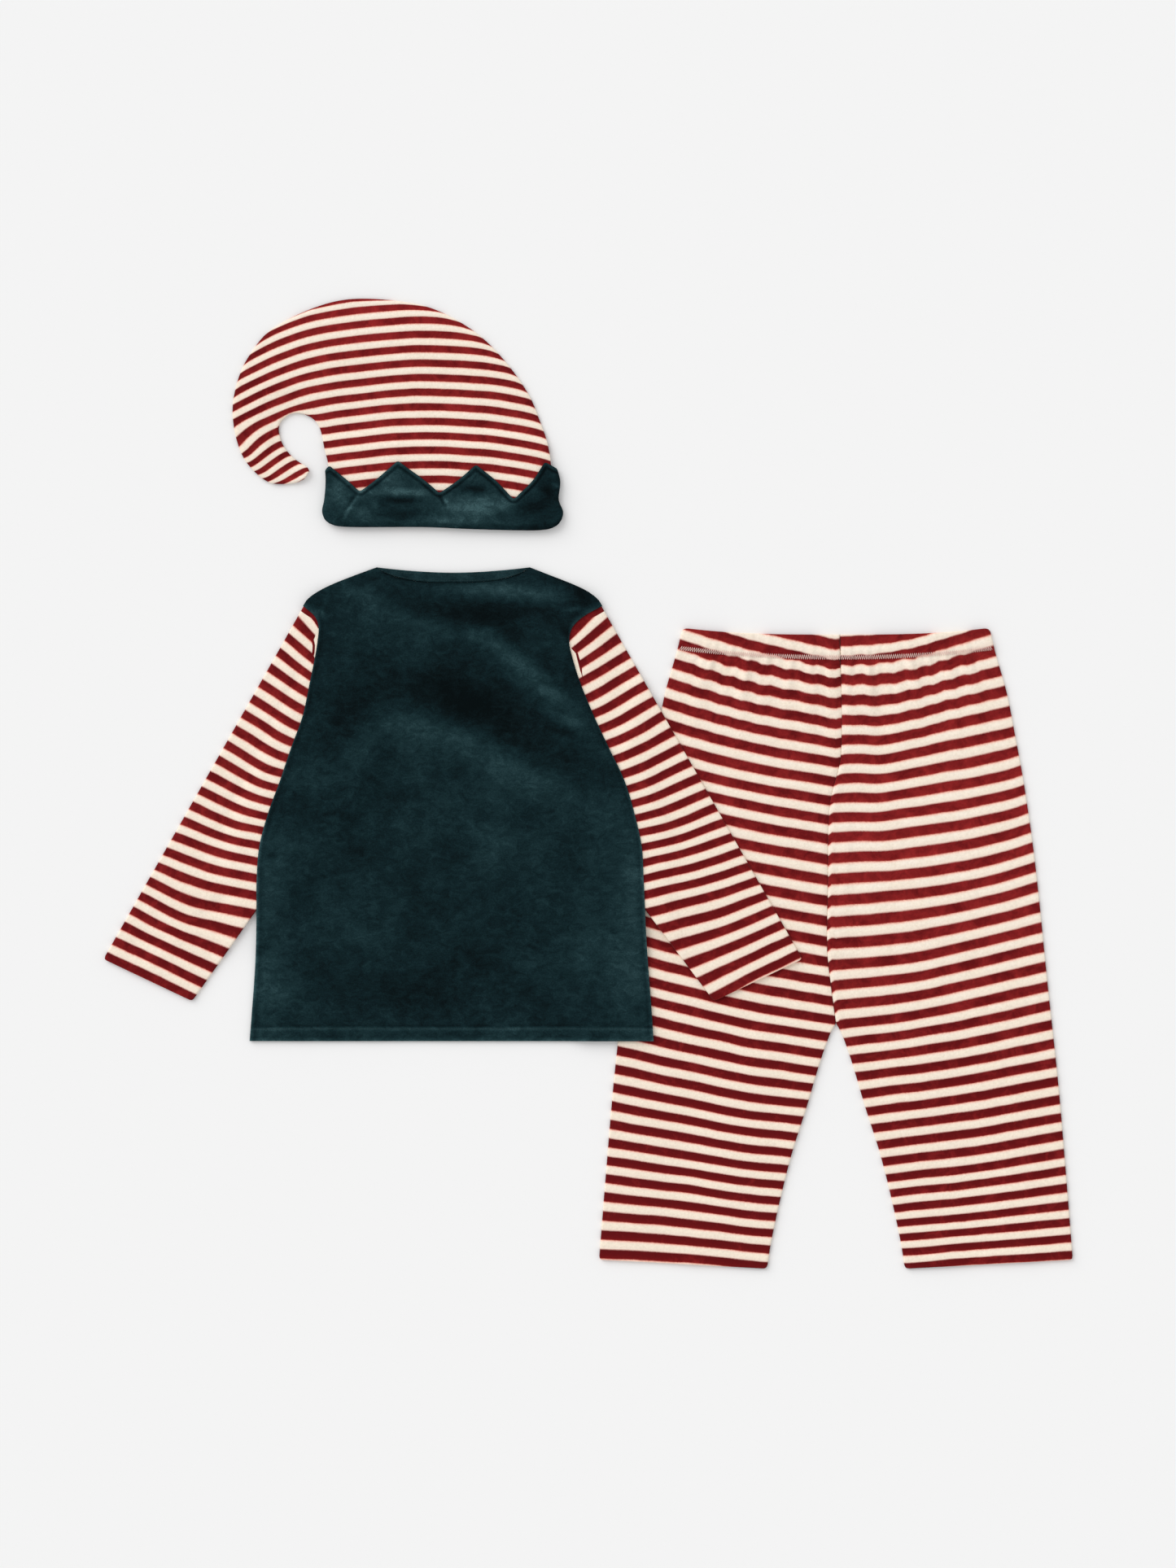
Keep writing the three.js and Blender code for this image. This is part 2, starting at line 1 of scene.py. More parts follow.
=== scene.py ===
"""A child's elf costume laid flat: a curled striped hat, a velvet tunic seen from its back, and trousers.

Lengths are millimetres in each garment's own place until a mesh is made. Left and right are the camera's,
and +Y runs towards the waists, the neck and the tip of the hat.
"""
import math

import bpy
import numpy as np
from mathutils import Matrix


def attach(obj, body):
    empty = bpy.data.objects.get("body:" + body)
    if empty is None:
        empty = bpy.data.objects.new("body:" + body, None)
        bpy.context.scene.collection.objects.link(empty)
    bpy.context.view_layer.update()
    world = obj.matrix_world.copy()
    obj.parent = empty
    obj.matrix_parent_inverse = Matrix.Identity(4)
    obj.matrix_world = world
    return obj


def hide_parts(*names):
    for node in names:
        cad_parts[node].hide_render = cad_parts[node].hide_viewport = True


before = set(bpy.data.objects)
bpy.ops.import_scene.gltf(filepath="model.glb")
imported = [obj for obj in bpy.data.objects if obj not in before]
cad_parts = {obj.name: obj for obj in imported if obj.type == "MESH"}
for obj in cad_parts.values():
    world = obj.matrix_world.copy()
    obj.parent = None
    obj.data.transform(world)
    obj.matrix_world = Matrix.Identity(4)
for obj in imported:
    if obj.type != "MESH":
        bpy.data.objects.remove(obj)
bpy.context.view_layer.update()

MM = 0.001

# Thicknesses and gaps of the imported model
CLOTH = 1.4
SEAM = 0.3
SLACK = 0.6
CASING_CLOTH = 2.4
BINDING_CLOTH = 2.0
BAND_CLOTH = 2.2
CROWN_LOFT = 2.6
CROWN_ROUNDING = 45
BODY_LOFT = 0.9
BODY_ROUNDING = 60
DRAPE_RUN = 24
DRAPE_MARGIN = 14
LAYER_MARGIN = 8
UNDERARM_MARGIN = 19.6
GATHER_HEIGHT = 1.9
GATHERS_PER_LEG = 8
GATHER_DRIFT = 0.12
GATHER_VARIATION = 0.2
TUBE_HEIGHT = 2 * CLOTH + SLACK + SEAM

# Where each garment's own origin lies
TROUSERS_AT = (255.8, 154.1)
TUNIC_AT = (-140.7, -264.2)
HAT_AT = (-149.1, 265.0)

# The meshes: how far apart their points lie, how many columns a flat tube has above and below and at which
# degrees its inner edge has more, how wide the other pieces count as, and the rounding of their edges
STEP = 2.7
LEG_COLUMNS = (88, 30)
SLEEVE_COLUMNS = (64, 22)
BAND_COLUMNS = (150, 75)
INNER_FOLD = (0, 30, 60)
PANEL_ACROSS = 417
CROWN_ACROSS = 180
BAND_ACROSS = 60
EDGE_ROUND = 1.3
EDGE_PLACES = (0, 0.1, 0.3, 0.6)
PANEL_ROUND = 1.8
BINDING_ROUND = 1.2
CROWN_ROUND = 2.6
BAND_ROUND = 2.0


def table(names, *rows):
    """A table with named columns."""
    return {name: np.array(column, float) for name, column in zip(names.split(), zip(*rows))}


# Trousers: half widths against the distance down from the waist
SIDE_FOLD = table(
    "down half",
    (-6.5, 158.5), (18.5, 164.5), (59, 176), (99, 184), (160, 195), (240, 206), (361, 218.5), (464, 229.5),
    (558, 237.5), (646, 244.5),
)
INSEAM = table(
    "down half",
    (401, 0.15), (412, 6), (440, 16), (487, 30), (534, 45), (581, 57), (628, 67), (654, 71),
)
CENTRE_SEAM = table(
    "down right",
    (0, 4), (124, 5), (176, -6.5), (263, -8.5), (326, -9), (364, -5), (401, 0),
)
LEG_ROWS = table(
    "inner side bow cloth gather",
    (0, -6.5, 3, CASING_CLOTH, 0.25), (12, 4, 2.6, CASING_CLOTH, 0.3), (21, 11.5, 2.2, CASING_CLOTH, 0.5),
    (27, 17, 2.1, CLOTH, 1), (46, 37, 1.7, CLOTH, 0.9), (70, 61, 1.5, CLOTH, 0.55),
    (104, 96, 1.3, CLOTH, 0.2), (150, 142, 1, CLOTH, 0), (215, 206, 1, CLOTH, 0), (285, 275, 1, CLOTH, 0),
    (350, 338, 1, CLOTH, 0), (401, 388, 1, CLOTH, 0), (432, 418, 1, CLOTH, 0), (480, 466, 1, CLOTH, 0),
    (534, 522, 1, CLOTH, 0), (594, 584, 1, CLOTH, 0), (654, 645, 1, CLOTH, 0),
)
CROTCH = 401
LEG_LENGTH = 654
WAIST_SEAM = 23.5
WAIST_CORNER = 4.5
HEM_CORNER = 3.4
STITCH_REACH = 2.5
STITCH_PITCH = 1.1
STITCH_SHAPE = table("at height", (0, -1.2), (0.2, 0.4), (0.5, 1), (0.8, 0.4), (1, -1.2))
ZIGZAG_RISE = 0.2
ZIGZAG_RADIUS = 0.26
LEG_HEM = 13
# How far down each red stripe's middle lies, at four distances from the centre
STRIPES_FROM_CENTRE = {"left": (22.7, 89.9, 157.1, 215.9), "right": (11, 78, 145, 221)}
LEG_STRIPES = {}
LEG_STRIPES["left"] = table(
    "stripe at0 at1 at2 at3",
    (0, 5, -10.9, -32, -54), (1, 26.5, 9.7, -10.9, -33), (2, 45.4, 32.3, 11.3, -11),
    (4, 87.8, 74.3, 54.6, 33.6), (7, 147.8, 136.1, 119.3, 100), (10, 207.9, 195.7, 179.8, 163),
    (13, 271.7, 259.6, 242.8, 226), (16, 335.2, 323.4, 306.6, 290), (19, 394, 382.6, 366.7, 351),
    (22, 449.8, 439.7, 425.5, 411.6), (25, 502.3, 494.8, 481.7, 470), (28, 554.4, 547.3, 536.3, 526.7),
    (31, 604.8, 597.7, 588.8, 582.1), (34, 656, 649.7, 643, 640),
)
LEG_STRIPES["right"] = table(
    "stripe at0 at1 at2 at3",
    (0, 6.3, -0.4, -21, -45), (1, 26.9, 18.5, -1.7, -25), (2, 45.8, 41.2, 22.3, -0.8),
    (4, 88.2, 82.7, 65.1, 43.7), (7, 147.8, 142.8, 130.6, 108.4), (10, 207.9, 203.3, 193.2, 171.4),
    (13, 273, 267.5, 256.6, 235), (16, 339.8, 333.1, 318.8, 299.9), (19, 401.5, 392.7, 379.3, 362),
    (22, 457, 448.6, 438.5, 422.9), (25, 513.2, 504, 494.8, 481.3), (28, 566.2, 557.8, 550.2, 537.6),
    (31, 612.4, 605.6, 599.8, 591), (34, 656.9, 651.4, 646, 641.3),
)

# Tunic: its sides against the height above the hem, and its shoulders from the sleeve to the neck
TUNIC_SIDES = table(
    "up left right",
    (0, 208.3, 208.3), (32, 205.8, 206.2), (66, 203.3, 203.6), (99, 201.5, 201.2), (133, 201, 199.5),
    (166, 200.8, 198), (200, 198, 196), (234, 189, 188.5), (267, 177, 178.5), (301, 165.5, 162.5),
    (334, 153.5, 147), (368, 146.2, 133), (396, 140.5, 124.2), (412, 138, 121.3), (426, 137, 125),
    (437, 141, 136.5), (447.7, 153, 155.5),
)
SHOULDERS = table(
    "left right up",
    (153, 155.5, 447.7), (148, 150.5, 455), (137, 140, 463), (121.8, 124, 470.8), (98, 100, 480.2),
    (77.2, 80.6, 487.8),
)
NECK = {
    "back_seam": dict(left=70.4, right=74, end=483, middle=472.3, square=3.2),
    "back_edge": dict(left=77.15, right=80.55, end=487.75, middle=482.2, square=1.8),
    "front_seam": dict(left=70.4, right=74, end=483, middle=418, square=2.2),
    "front_edge": dict(left=64, right=67.5, end=486, middle=427, square=2.2),
}
TUNIC_HEM = 12.6
HEM_PILE = 1.0
TOUCHING = 0.05
SLEEVES = {
    "left": dict(
        cuff_outer=(-359.2, 83.6), cuff_inner=(-267.6, 40.2), shoulder=(-153.7, 447.7),
        end=((-152, 448.6), (-128, 433), (-120, 404), (-113.4, 349.4), (-103.3, 307.4), (-93, 286.4)),
    ),
    "right": dict(
        cuff_outer=(361.8, 83.8), cuff_inner=(270.5, 40.3), shoulder=(155.4, 447.7),
        end=((154, 448.6), (113, 430), (105, 404), (100.8, 349.4), (93.2, 307.4), (85.5, 286.4)),
    ),
}
SLEEVE_END_AT = (0, 0.12, 0.3, 0.6, 0.85, 1)
# How far from the shoulder each red stripe's middle lies, at three distances from the side fold
STRIPES_FROM_FOLD = (3.4, 50.4, 84)
SLEEVE_STRIPES = {
    "left": table(
        "stripe at0 at1 at2",
        (0, -5.5, 20, 24), (1, 17.6, 29, 32), (3, 53.6, 59, 59), (5, 90, 92.8, 88), (9, 162.9, 164.2, 156),
        (13, 235.4, 229.8, 220), (15, 271.5, 263.4, 253.8), (17, 307.2, 300.2, 289.9),
        (18, 324.4, 321.4, 310.1), (19, 341.9, 340.4, 331.6), (20, 359.9, 357.7, 353.6),
        (21, 377.9, 375.1, 372.3), (23, 414, 409.9, 408.2), (24, 432, 428, 426),
    ),
    "right": table(
        "stripe at0 at1 at2",
        (0, -2, 12, 18), (1, 18, 25.5, 28), (3, 56.2, 57.6, 56), (5, 92.5, 93.4, 88),
        (9, 166.7, 164.4, 158), (13, 238, 231.6, 221), (15, 272.5, 263.7, 253.8), (17, 307.6, 297.6, 287.4),
        (18, 324.6, 315.4, 306.1), (19, 341.9, 334.5, 325.8), (20, 359.3, 353.7, 346.2),
        (21, 376.9, 372, 367.2), (23, 411.8, 408.3, 407.8), (24, 429.7, 426, 426),
    ),
}

# Hat: sections of the curled crown, from the band to the tip
CROWN = table(
    "outer_x outer_y inner_x inner_y",
    (112, 2.5, -114, 2.5), (111.5, 36, -114.5, 36), (111, 63.8, -118.2, 62.2), (107.5, 85.7, -123, 82.3),
    (100.8, 105.8, -125.2, 94.1), (88.2, 136.1, -128.5, 104.2), (64.7, 169.7, -134.4, 111.7),
    (34.4, 199.9, -142, 115.9), (-5.9, 223.4, -148.7, 117.6), (-46.2, 233.2, -154.6, 117.6),
    (-96.6, 235.2, -159.6, 115.9), (-136.9, 225, -164.2, 112.6), (-177.2, 204.1, -168, 108.4),
    (-197.4, 181.4, -169.7, 103.3), (-210, 157.9, -169.7, 98.3), (-217.1, 128.5, -168, 90.7),
    (-215.9, 101.6, -165.1, 84), (-208.3, 75.6, -160.4, 77.3), (-195.7, 58, -154.6, 71.4),
    (-179.8, 46.2, -147.8, 66.4), (-163.8, 44.6, -142.8, 63.4), (-150.4, 46.2, -139.4, 60.5),
    (-143, 50, -138.2, 57.1),
)
BAND_POINTS = table(
    "across up",
    (0, 58), (0.02, 63.5), (0.15, 36), (0.32, 68), (0.49, 34.5), (0.655, 64), (0.81, 28), (0.955, 67),
    (1, 60),
)
BAND_SIDES = table(
    "up left right",
    (2, 119.5, 120), (15, 125, 123.5), (28, 123, 119), (47, 121.5, 120.5), (63, 122.5, 116.5),
)
BAND_HEM = table(
    "across up",
    (0, 7), (0.012, 3.6), (0.035, 1.4), (0.08, 0.3), (0.15, 0), (0.42, 0), (0.62, -2), (0.87, -3.4),
    (0.94, -2.6), (0.975, -0.4), (0.992, 2.8), (1, 6.5),
)
BAND_OUTLINE = ((-120, -3), (-120, 62), (0, 68), (117, 66), (120, -3))
# How far a stripe drops on either side of the crown's middle
HAT_STRIPE_DROP = table(
    "x drop",
    (-217, 46.2), (-205.8, 40.3), (-172.2, 24.8), (-138.6, 13.4), (-96.6, 5.9), (-29.4, 0), (37.8, 2.1),
    (71.4, 6.3), (96.6, 10.9), (113.4, 15),
)
HAT_STRIPE_DIPS = ((3.0, 16, (20, 222), (44, 204), (76, 178)),)
EDGE_ROLL = 3.5
HAT_STRIPE = 14.96
HAT_STRIPE_AT = 153.7
HAT_STRIPE_NUMBER = 5

# Where the middles of the stripes lie across their pattern
RED_MIDDLE = 0.5
CREAM_MIDDLE = 0.0
# The armholes' creases: the distance that an attribute of 1 stands for, half the red line's width, and how
# far past the crease the cream begins at its ends
CREASE_REACH = 100
CREASE_LINE = 1.5
TURNED_TAPER = 7

# Looks
CLOTH_ROUGHNESS = 0.92
CLOTH_SPECULAR = 0.18
VELVET_SPECULAR = 0.05
FLOOR_ROUGHNESS = 0.95
FLOOR_SPECULAR = 0.1
THREAD_DARK = 0.9

# Colours, in sRGB
CREAM = (249, 238, 224)
# The cream of the darker copy of the stripes, for painted shade
CREAM_IN_SHADE = (246, 232, 213)
CREAM_SHADE = (226, 207, 182)
FLOOR = (244, 244, 244)
THREAD_PINK = (250, 218, 208)
THREAD_GREEN = (34, 58, 62)
# The cream, then the top, middle, lower part and edge of the red: a darker copy for painted shade, and a
# lighter copy for painted sheen
STRIPE_SHADE_AND_SHEEN = (
    (CREAM_IN_SHADE, (92, 2, 7), (98, 2, 7), (108, 5, 9), (150, 40, 34)),
    (CREAM, (144, 31, 32), (149, 33, 33), (154, 36, 35), (180, 64, 56)),
)
VELVET_SHADES = (
    (0.0, (4, 12, 14)), (0.2, (8, 21, 24)), (0.4, (14, 33, 37)), (0.6, (24, 46, 50)), (0.8, (38, 62, 66)),
    (1.0, (60, 88, 92)),
)

# The sheets: the node that each stands for, its cloth, flat size in metres, area, and what it lies on
SHEETS = {
    "left_leg": ("leg_left", "striped_velour", (0.45, 0.66), 0.256, []),
    "right_leg": ("leg_right", "striped_velour", (0.45, 0.66), 0.256, []),
    "back_panel": ("tunic_back", "green_velvet", (0.42, 0.49), 0.168, ["tunic_front"]),
    "front_panel": ("tunic_front", "green_velvet", (0.42, 0.49), 0.163, []),
    "back_neck_binding": ("neck_band_back", "green_velvet", (0.15, 0.016), 0.001536, []),
    "front_neck_binding": ("neck_band_front", "green_velvet", (0.21, 0.012), 0.0016128, []),
    "left_sleeve": ("sleeve_left", "striped_velour", (0.33, 0.44), 0.09, ["tunic_front"]),
    "right_sleeve": ("sleeve_right", "striped_velour", (0.33, 0.44), 0.09, ["tunic_front", "leg_left"]),
    "crown_top": ("hat_crown_top", "striped_velour", (0.34, 0.24), 0.0585, []),
    "crown_under": ("hat_crown_under", "striped_velour", (0.34, 0.24), 0.0585, []),
    "pointed_band": ("hat_band", "green_velvet", (0.51, 0.07), 0.0255, ["hat_crown_under"]),
}


def linear(colour):
    """An sRGB colour of 0 to 255 as a linear one."""
    share = np.array(colour, float) / 255
    return (*np.where(share <= 0.04045, share / 12.92, ((share + 0.055) / 1.055) ** 2.4), 1.0)


def smooth(value, low, high):
    """From 0 at low to 1 at high, without a corner."""
    t = np.clip((value - low) / (high - low), 0, 1)
    return t * t * (3 - 2 * t)


def bell(distance, width):
    """1 at a distance of 0, and smoothly towards 0 past the width."""
    return np.exp(-((distance / width) ** 2))


def mix(a, b, share):
    return a + (b - a) * share


def through(rows, start, end):
    """A smooth curve through a table: one column as a function of another."""
    x, y = rows[start], rows[end]
    if x[0] > x[-1]:
        x, y = x[::-1], y[::-1]
    number = np.arange(len(x))
    before, after = np.maximum(number - 1, 0), np.minimum(number + 1, len(x) - 1)
    slopes = (y[after] - y[before]) / (x[after] - x[before])

    def curve(at):
        at = np.asarray(at, float)
        i = np.clip(np.searchsorted(x, at, side="right") - 1, 0, len(x) - 2)
        span = x[i + 1] - x[i]
        t = np.clip((at - x[i]) / span, 0, 1)
        first = y[i] * (1 + 2 * t) * (1 - t) ** 2 + span * slopes[i] * t * (1 - t) ** 2
        last = y[i + 1] * t * t * (3 - 2 * t) + span * slopes[i + 1] * t * t * (t - 1)
        beyond = np.minimum(at - x[0], 0) * slopes[0] + np.maximum(at - x[-1], 0) * slopes[-1]
        return first + last + beyond

    return curve


def segments_of(points, closed=False):
    points = [np.array(point, float) for point in points]
    return list(zip(points, points[1:] + points[:1])) if closed else list(zip(points, points[1:]))


def along_line(points, x, y, closed=False):
    """Distance of (x, y) from a line of points, and how far along the line the nearest place is."""
    nearest, along, run = np.full(np.shape(x), np.inf), np.zeros(np.shape(x)), 0.0
    for a, b in segments_of(points, closed):
        d = b - a
        length = math.hypot(*d)
        t = np.clip(((x - a[0]) * d[0] + (y - a[1]) * d[1]) / length**2, 0, 1)
        distance = np.hypot(x - a[0] - t * d[0], y - a[1] - t * d[1])
        along = np.where(distance < nearest, run + t * length, along)
        nearest = np.minimum(distance, nearest)
        run += length
    return nearest, along / run


def outside(outline, x, y):
    """Distance of (x, y) from a closed outline, negative inside it."""
    distance, _ = along_line(outline, x, y, closed=True)
    inside = np.zeros(np.shape(x), bool)
    for a, b in segments_of(outline, closed=True):
        if a[1] != b[1]:
            crossing = (a[1] > y) != (b[1] > y)
            inside ^= crossing & (x < a[0] + (y - a[1]) * (b[0] - a[0]) / (b[1] - a[1]))
    return np.where(inside, -distance, distance)


def lift_over(outline, height, margin):
    """How far cloth is lifted by a piece of that outline that it lies on."""
    return lambda x, y: height * (1 - smooth(outside(outline, x, y), margin, margin + DRAPE_RUN))


def mottle(x, y, size, seed):
    """Smooth noise from -1 to 1 with patches of about that size."""
    cells = 64
    lattice = np.random.default_rng(seed).uniform(-1, 1, (cells, cells))
    column, row = np.floor(x / size).astype(int), np.floor(y / size).astype(int)
    u, v = smooth(x / size - column, 0, 1), smooth(y / size - row, 0, 1)

    def corner(i, j):
        return lattice[(column + i) % cells, (row + j) % cells]

    return mix(mix(corner(0, 0), corner(1, 0), u), mix(corner(0, 1), corner(1, 1), u), v)


def mottles(x, y, *parts):
    """A sum of mottles, each with its amount, size and seed."""
    return sum(amount * mottle(x, y, size, seed) for amount, size, seed in parts)


def strokes(marks, x, y):
    """The sum of soft marks, each with its strength at its middle, its width, and its line of points."""
    total = np.zeros(np.shape(x))
    for strength, width, *points in marks:
        distance, along = along_line(points, x, y)
        taper = 0.35 + 0.65 * np.sin(np.pi * np.clip(along, 0.0, 1.0))
        total += strength * taper * bell(distance, width)
    return total


def stations(length, step=STEP, edge=EDGE_ROUND):
    """Shares of a length: one place every step, and closer ones at both ends, where the edge is rounded."""
    close = edge * np.array(EDGE_PLACES) / length
    count = max(3, round((length - 2 * edge) / step))
    middle = np.linspace(edge / length, 1 - edge / length, count + 1)
    return np.concatenate([close, middle, 1 - close[::-1]])


def rounded(distance, radius=EDGE_ROUND):
    """How much of its thickness cloth has at that distance from its edge."""
    return np.sqrt(1 - (1 - np.clip(distance / radius, 0, 1)) ** 2)


def corner_cut(distance, radius):
    """How far a round corner stands back at that distance from the end of a piece."""
    return radius * (1 - np.sqrt(1 - np.clip(1 - distance / radius, 0, 1) ** 2))


def sealed(rim):
    """The same rim, without thickness on all four sides."""
    rim[[0, -1]] = 0
    rim[:, [0, -1]] = 0
    return rim


def run_along(path):
    """How far along a path of points each of them lies."""
    return np.concatenate([[0], np.cumsum(np.linalg.norm(np.diff(path, axis=0), axis=1))])


def turned_hem(from_end, hem, step, groove, soft=1.5, width=1.3):
    """The step where the turned cloth of a hem ends, and the groove of its seam."""
    return step * smooth(hem - from_end, -1.0, soft) - groove * bell(from_end - hem, width)


def new_object(name, points, faces, material, attributes=None):
    used, order = np.unique(np.concatenate([np.ravel(f) for f in faces]), return_inverse=True)
    ends = np.cumsum([0] + [np.size(f) for f in faces])
    groups = [order[a:b].reshape(np.shape(f)) for f, a, b in zip(faces, ends, ends[1:])]
    mesh = bpy.data.meshes.new(name)
    mesh.from_pydata(points[used] * MM, [], [face for group in groups for face in group.tolist()])
    for key, values in (attributes or {}).items():
        mesh.attributes.new(key, "FLOAT", "POINT").data.foreach_set("value", values[used].astype(np.float32))
    mesh.shade_smooth()
    mesh.materials.append(material)
    made = bpy.data.objects.new(name, mesh)
    bpy.context.scene.collection.objects.link(made)
    return made


def signed_volume(points, quads):
    """Above 0 where the faces of a closed mesh look outwards."""
    a, b, c, d = (points[quads[:, i]] for i in range(4))
    return np.sum(a * np.cross(b, c)) + np.sum(a * np.cross(c, d))


def quads_of(grid):
    return np.stack([grid[:-1, :-1], grid[:-1, 1:], grid[1:, 1:], grid[1:, :-1]], -1).reshape(-1, 4)


def shell(name, outer, inner, rim, origin, material, ring_from=None, **attributes):
    """A closed thin wall between two grids of points, which meet where rim is 0.
    From row ring_from on, each row's last point is its first."""
    middle, half = (outer + inner) / 2, (outer - inner) / 2 * rim[..., None]
    points = np.concatenate([(middle + half).reshape(-1, 3), (middle - half).reshape(-1, 3)])
    top = np.arange(rim.size).reshape(rim.shape)
    bottom = np.where(rim < 1e-6, top, top + rim.size)
    ends = []
    if ring_from is not None:
        for grid in (top, bottom):
            grid[ring_from:, -1] = grid[ring_from:, 0]
        if ring_from > 0:
            r = ring_from
            ends = [[top[r - 1, 0], bottom[r, 0], top[r, 0]], [top[r - 1, -1], top[r, 0], bottom[r, 0]]]
    faces = [np.concatenate([quads_of(top), quads_of(bottom)[:, ::-1]]), np.array(ends, int).reshape(-1, 3)]
    if signed_volume(points, faces[0]) < 0:
        faces = [group[:, ::-1] for group in faces]
    points = points + np.array([*origin, 0.0])
    both = {key: np.concatenate([values.ravel(), values.ravel()]) for key, values in attributes.items()}
    return new_object(name, points, faces, material, both)


def on_grid(grid, row, column):
    """A point of a grid at any row and column, whole or not."""
    r, c = min(int(row), len(grid) - 2), min(int(column), len(grid[0]) - 2)
    above, below = (mix(grid[i, c], grid[i, c + 1], column - c) for i in (r, r + 1))
    return mix(above, below, row - r)


def even_space(share):
    """The same slack everywhere between the two layers of a tube."""
    return 0 * share + SLACK


def flat_tube(place, cloth, counts, space=even_space, is_slit=False):
    """Points of the outer and the inner face of a tube pressed flat, row by row.

    place(share) gives x and y, with 0 at its inner edge and 1 at its side fold. Its section starts at the
    inner edge, crosses the upper layer, rounds the side fold and comes back below. Where a row is slit, it
    isn't folded at its inner edge. Also given are each point's share, and 1 where it is on the upper layer.
    """
    columns = []
    (x0, y0), (x1, y1) = place(np.zeros_like(cloth)), place(np.ones_like(cloth))
    width = np.hypot(x1 - x0, y1 - y0)

    def add(outer_share, outer_z, inner_share, inner_z, share, is_upper):
        columns.append((*place(outer_share), outer_z, *place(inner_share), inner_z, share, is_upper))

    def layer(share, is_upper):
        top = 2 * cloth + space(share)
        if is_upper:
            add(share, top, share, top - cloth, share, 1.0)
        else:
            add(share, 0 * top, share, cloth, share, 0.0)

    def fold(at_side, degrees, on_top):
        room = space(np.full_like(width, float(at_side)))
        radius = cloth + room / 2
        angle = math.radians(degrees)
        reach = (radius * (1 - math.cos(angle)) / width, (radius - room / 2 * math.cos(angle)) / width)
        shares = [1 - r if at_side else r for r in reach]
        height = radius * (1 + math.sin(angle)), radius + room / 2 * math.sin(angle)
        is_upper = float(degrees > 0)
        if at_side:
            add(shares[0], height[0], shares[1], height[1], shares[0], is_upper)
            return
        flat = (cloth + room / 2) / width * abs(degrees) / 90
        top = 2 * cloth + space(flat)
        flat_heights = (top, top - cloth) if on_top else (0 * top, cloth)
        ends = []
        for rounded_share, rounded_height, flat_height in zip(shares, height, flat_heights):
            ends += [np.where(is_slit, flat, rounded_share), np.where(is_slit, flat_height, rounded_height)]
        add(*ends, flat, is_upper)

    near = (cloth + space(np.zeros_like(width)) / 2) / width
    far = 1 - (cloth + space(np.ones_like(width)) / 2) / width
    for degrees in INNER_FOLD:
        fold(False, degrees, True)
    for share in np.linspace(0, 1, counts[0]):
        layer(mix(near, far, share), True)
    for degrees in range(72, -73, -18):
        fold(True, degrees, degrees > 0)
    for share in np.linspace(0, 1, counts[1])[1:-1]:
        layer(mix(far, near, share), False)
    for degrees in INNER_FOLD[::-1]:
        fold(False, -degrees, False)
    stacked = [np.stack(np.broadcast_arrays(*column), -1) for column in columns]
    grid = np.stack(stacked, 1)
    return grid[..., 0:3].copy(), grid[..., 3:6].copy(), grid[..., 6], grid[..., 7]


def stripe_number(rows, positions, across, along):
    """Which stripe a place is on, with whole numbers at the middles of the red ones."""
    at = {f"at{i}": rows[f"at{i}"] for i in range(len(positions))}
    lines = []
    for number in range(len(rows["stripe"])):
        line = dict(across=np.array(positions, float), along=np.array([at[key][number] for key in at]))
        lines.append(through(line, "across", "along")(across))
    result = np.zeros(np.shape(across))
    for i in range(len(lines) - 1):
        t = (along - lines[i]) / (lines[i + 1] - lines[i])
        if i > 0:
            t = np.maximum(t, 0)
        if i < len(lines) - 2:
            t = np.minimum(t, 1)
        result += t * (rows["stripe"][i + 1] - rows["stripe"][i])
    return result + rows["stripe"][0]


# Materials
def add_node(tree, kind, settings=None, **inputs):
    made = tree.nodes.new(kind)
    for name, value in (settings or {}).items():
        setattr(made, name, value)
    for name, value in inputs.items():
        socket = made.inputs[name.replace("_", " ")]
        if isinstance(value, bpy.types.NodeSocket):
            tree.links.new(value, socket)
        else:
            socket.default_value = value
    return made


def calculate(tree, operation, *values):
    made = tree.nodes.new("ShaderNodeMath")
    made.operation = operation
    for socket, value in zip(made.inputs, values):
        if isinstance(value, bpy.types.NodeSocket):
            tree.links.new(value, socket)
        else:
            socket.default_value = value
    return made.outputs[0]


def ramp(tree, factor, *stops):
    made = add_node(tree, "ShaderNodeValToRGB", Fac=factor)
    elements = made.color_ramp.elements
    elements[0].position, elements[1].position = stops[0][0], stops[-1][0]
    elements[0].color, elements[1].color = linear(stops[0][1]), linear(stops[-1][1])
    for position, colour in stops[1:-1]:
        elements.new(position).color = linear(colour)
    return made.outputs["Color"]


def noise(tree, place, scale, detail=2.0, roughness=0.5, stretch=None, distortion=0.0):
    if stretch:
        place = add_node(tree, "ShaderNodeMapping", Vector=place, Scale=stretch).outputs["Vector"]
    sizes = dict(Scale=scale, Detail=detail, Roughness=roughness, Distortion=distortion)
    return add_node(tree, "ShaderNodeTexNoise", Vector=place, **sizes).outputs["Fac"]


def read(tree, name):
    return add_node(tree, "ShaderNodeAttribute", dict(attribute_name=name)).outputs["Fac"]


def centred(tree, value, amount):
    """Noise of 0 to 1 as a change up and down."""
    return calculate(tree, "MULTIPLY", calculate(tree, "SUBTRACT", value, 0.5), amount)


def blend(tree, factor, a, b):
    made = add_node(tree, "ShaderNodeMix", dict(data_type="FLOAT"), Factor=factor, A=a, B=b)
    return made.outputs["Result"]


def mix_colours(tree, factor, first, second, kind="MIX"):
    settings = dict(blend_type=kind)
    return add_node(tree, "ShaderNodeMixRGB", settings, Fac=factor, Color1=first, Color2=second).outputs[0]


def spread(tree, value, low, high, to_low=0.0, to_high=1.0):
    ends = dict(From_Min=low, From_Max=high, To_Min=to_low, To_Max=to_high)
    return add_node(tree, "ShaderNodeMapRange", Value=value, **ends).outputs["Result"]


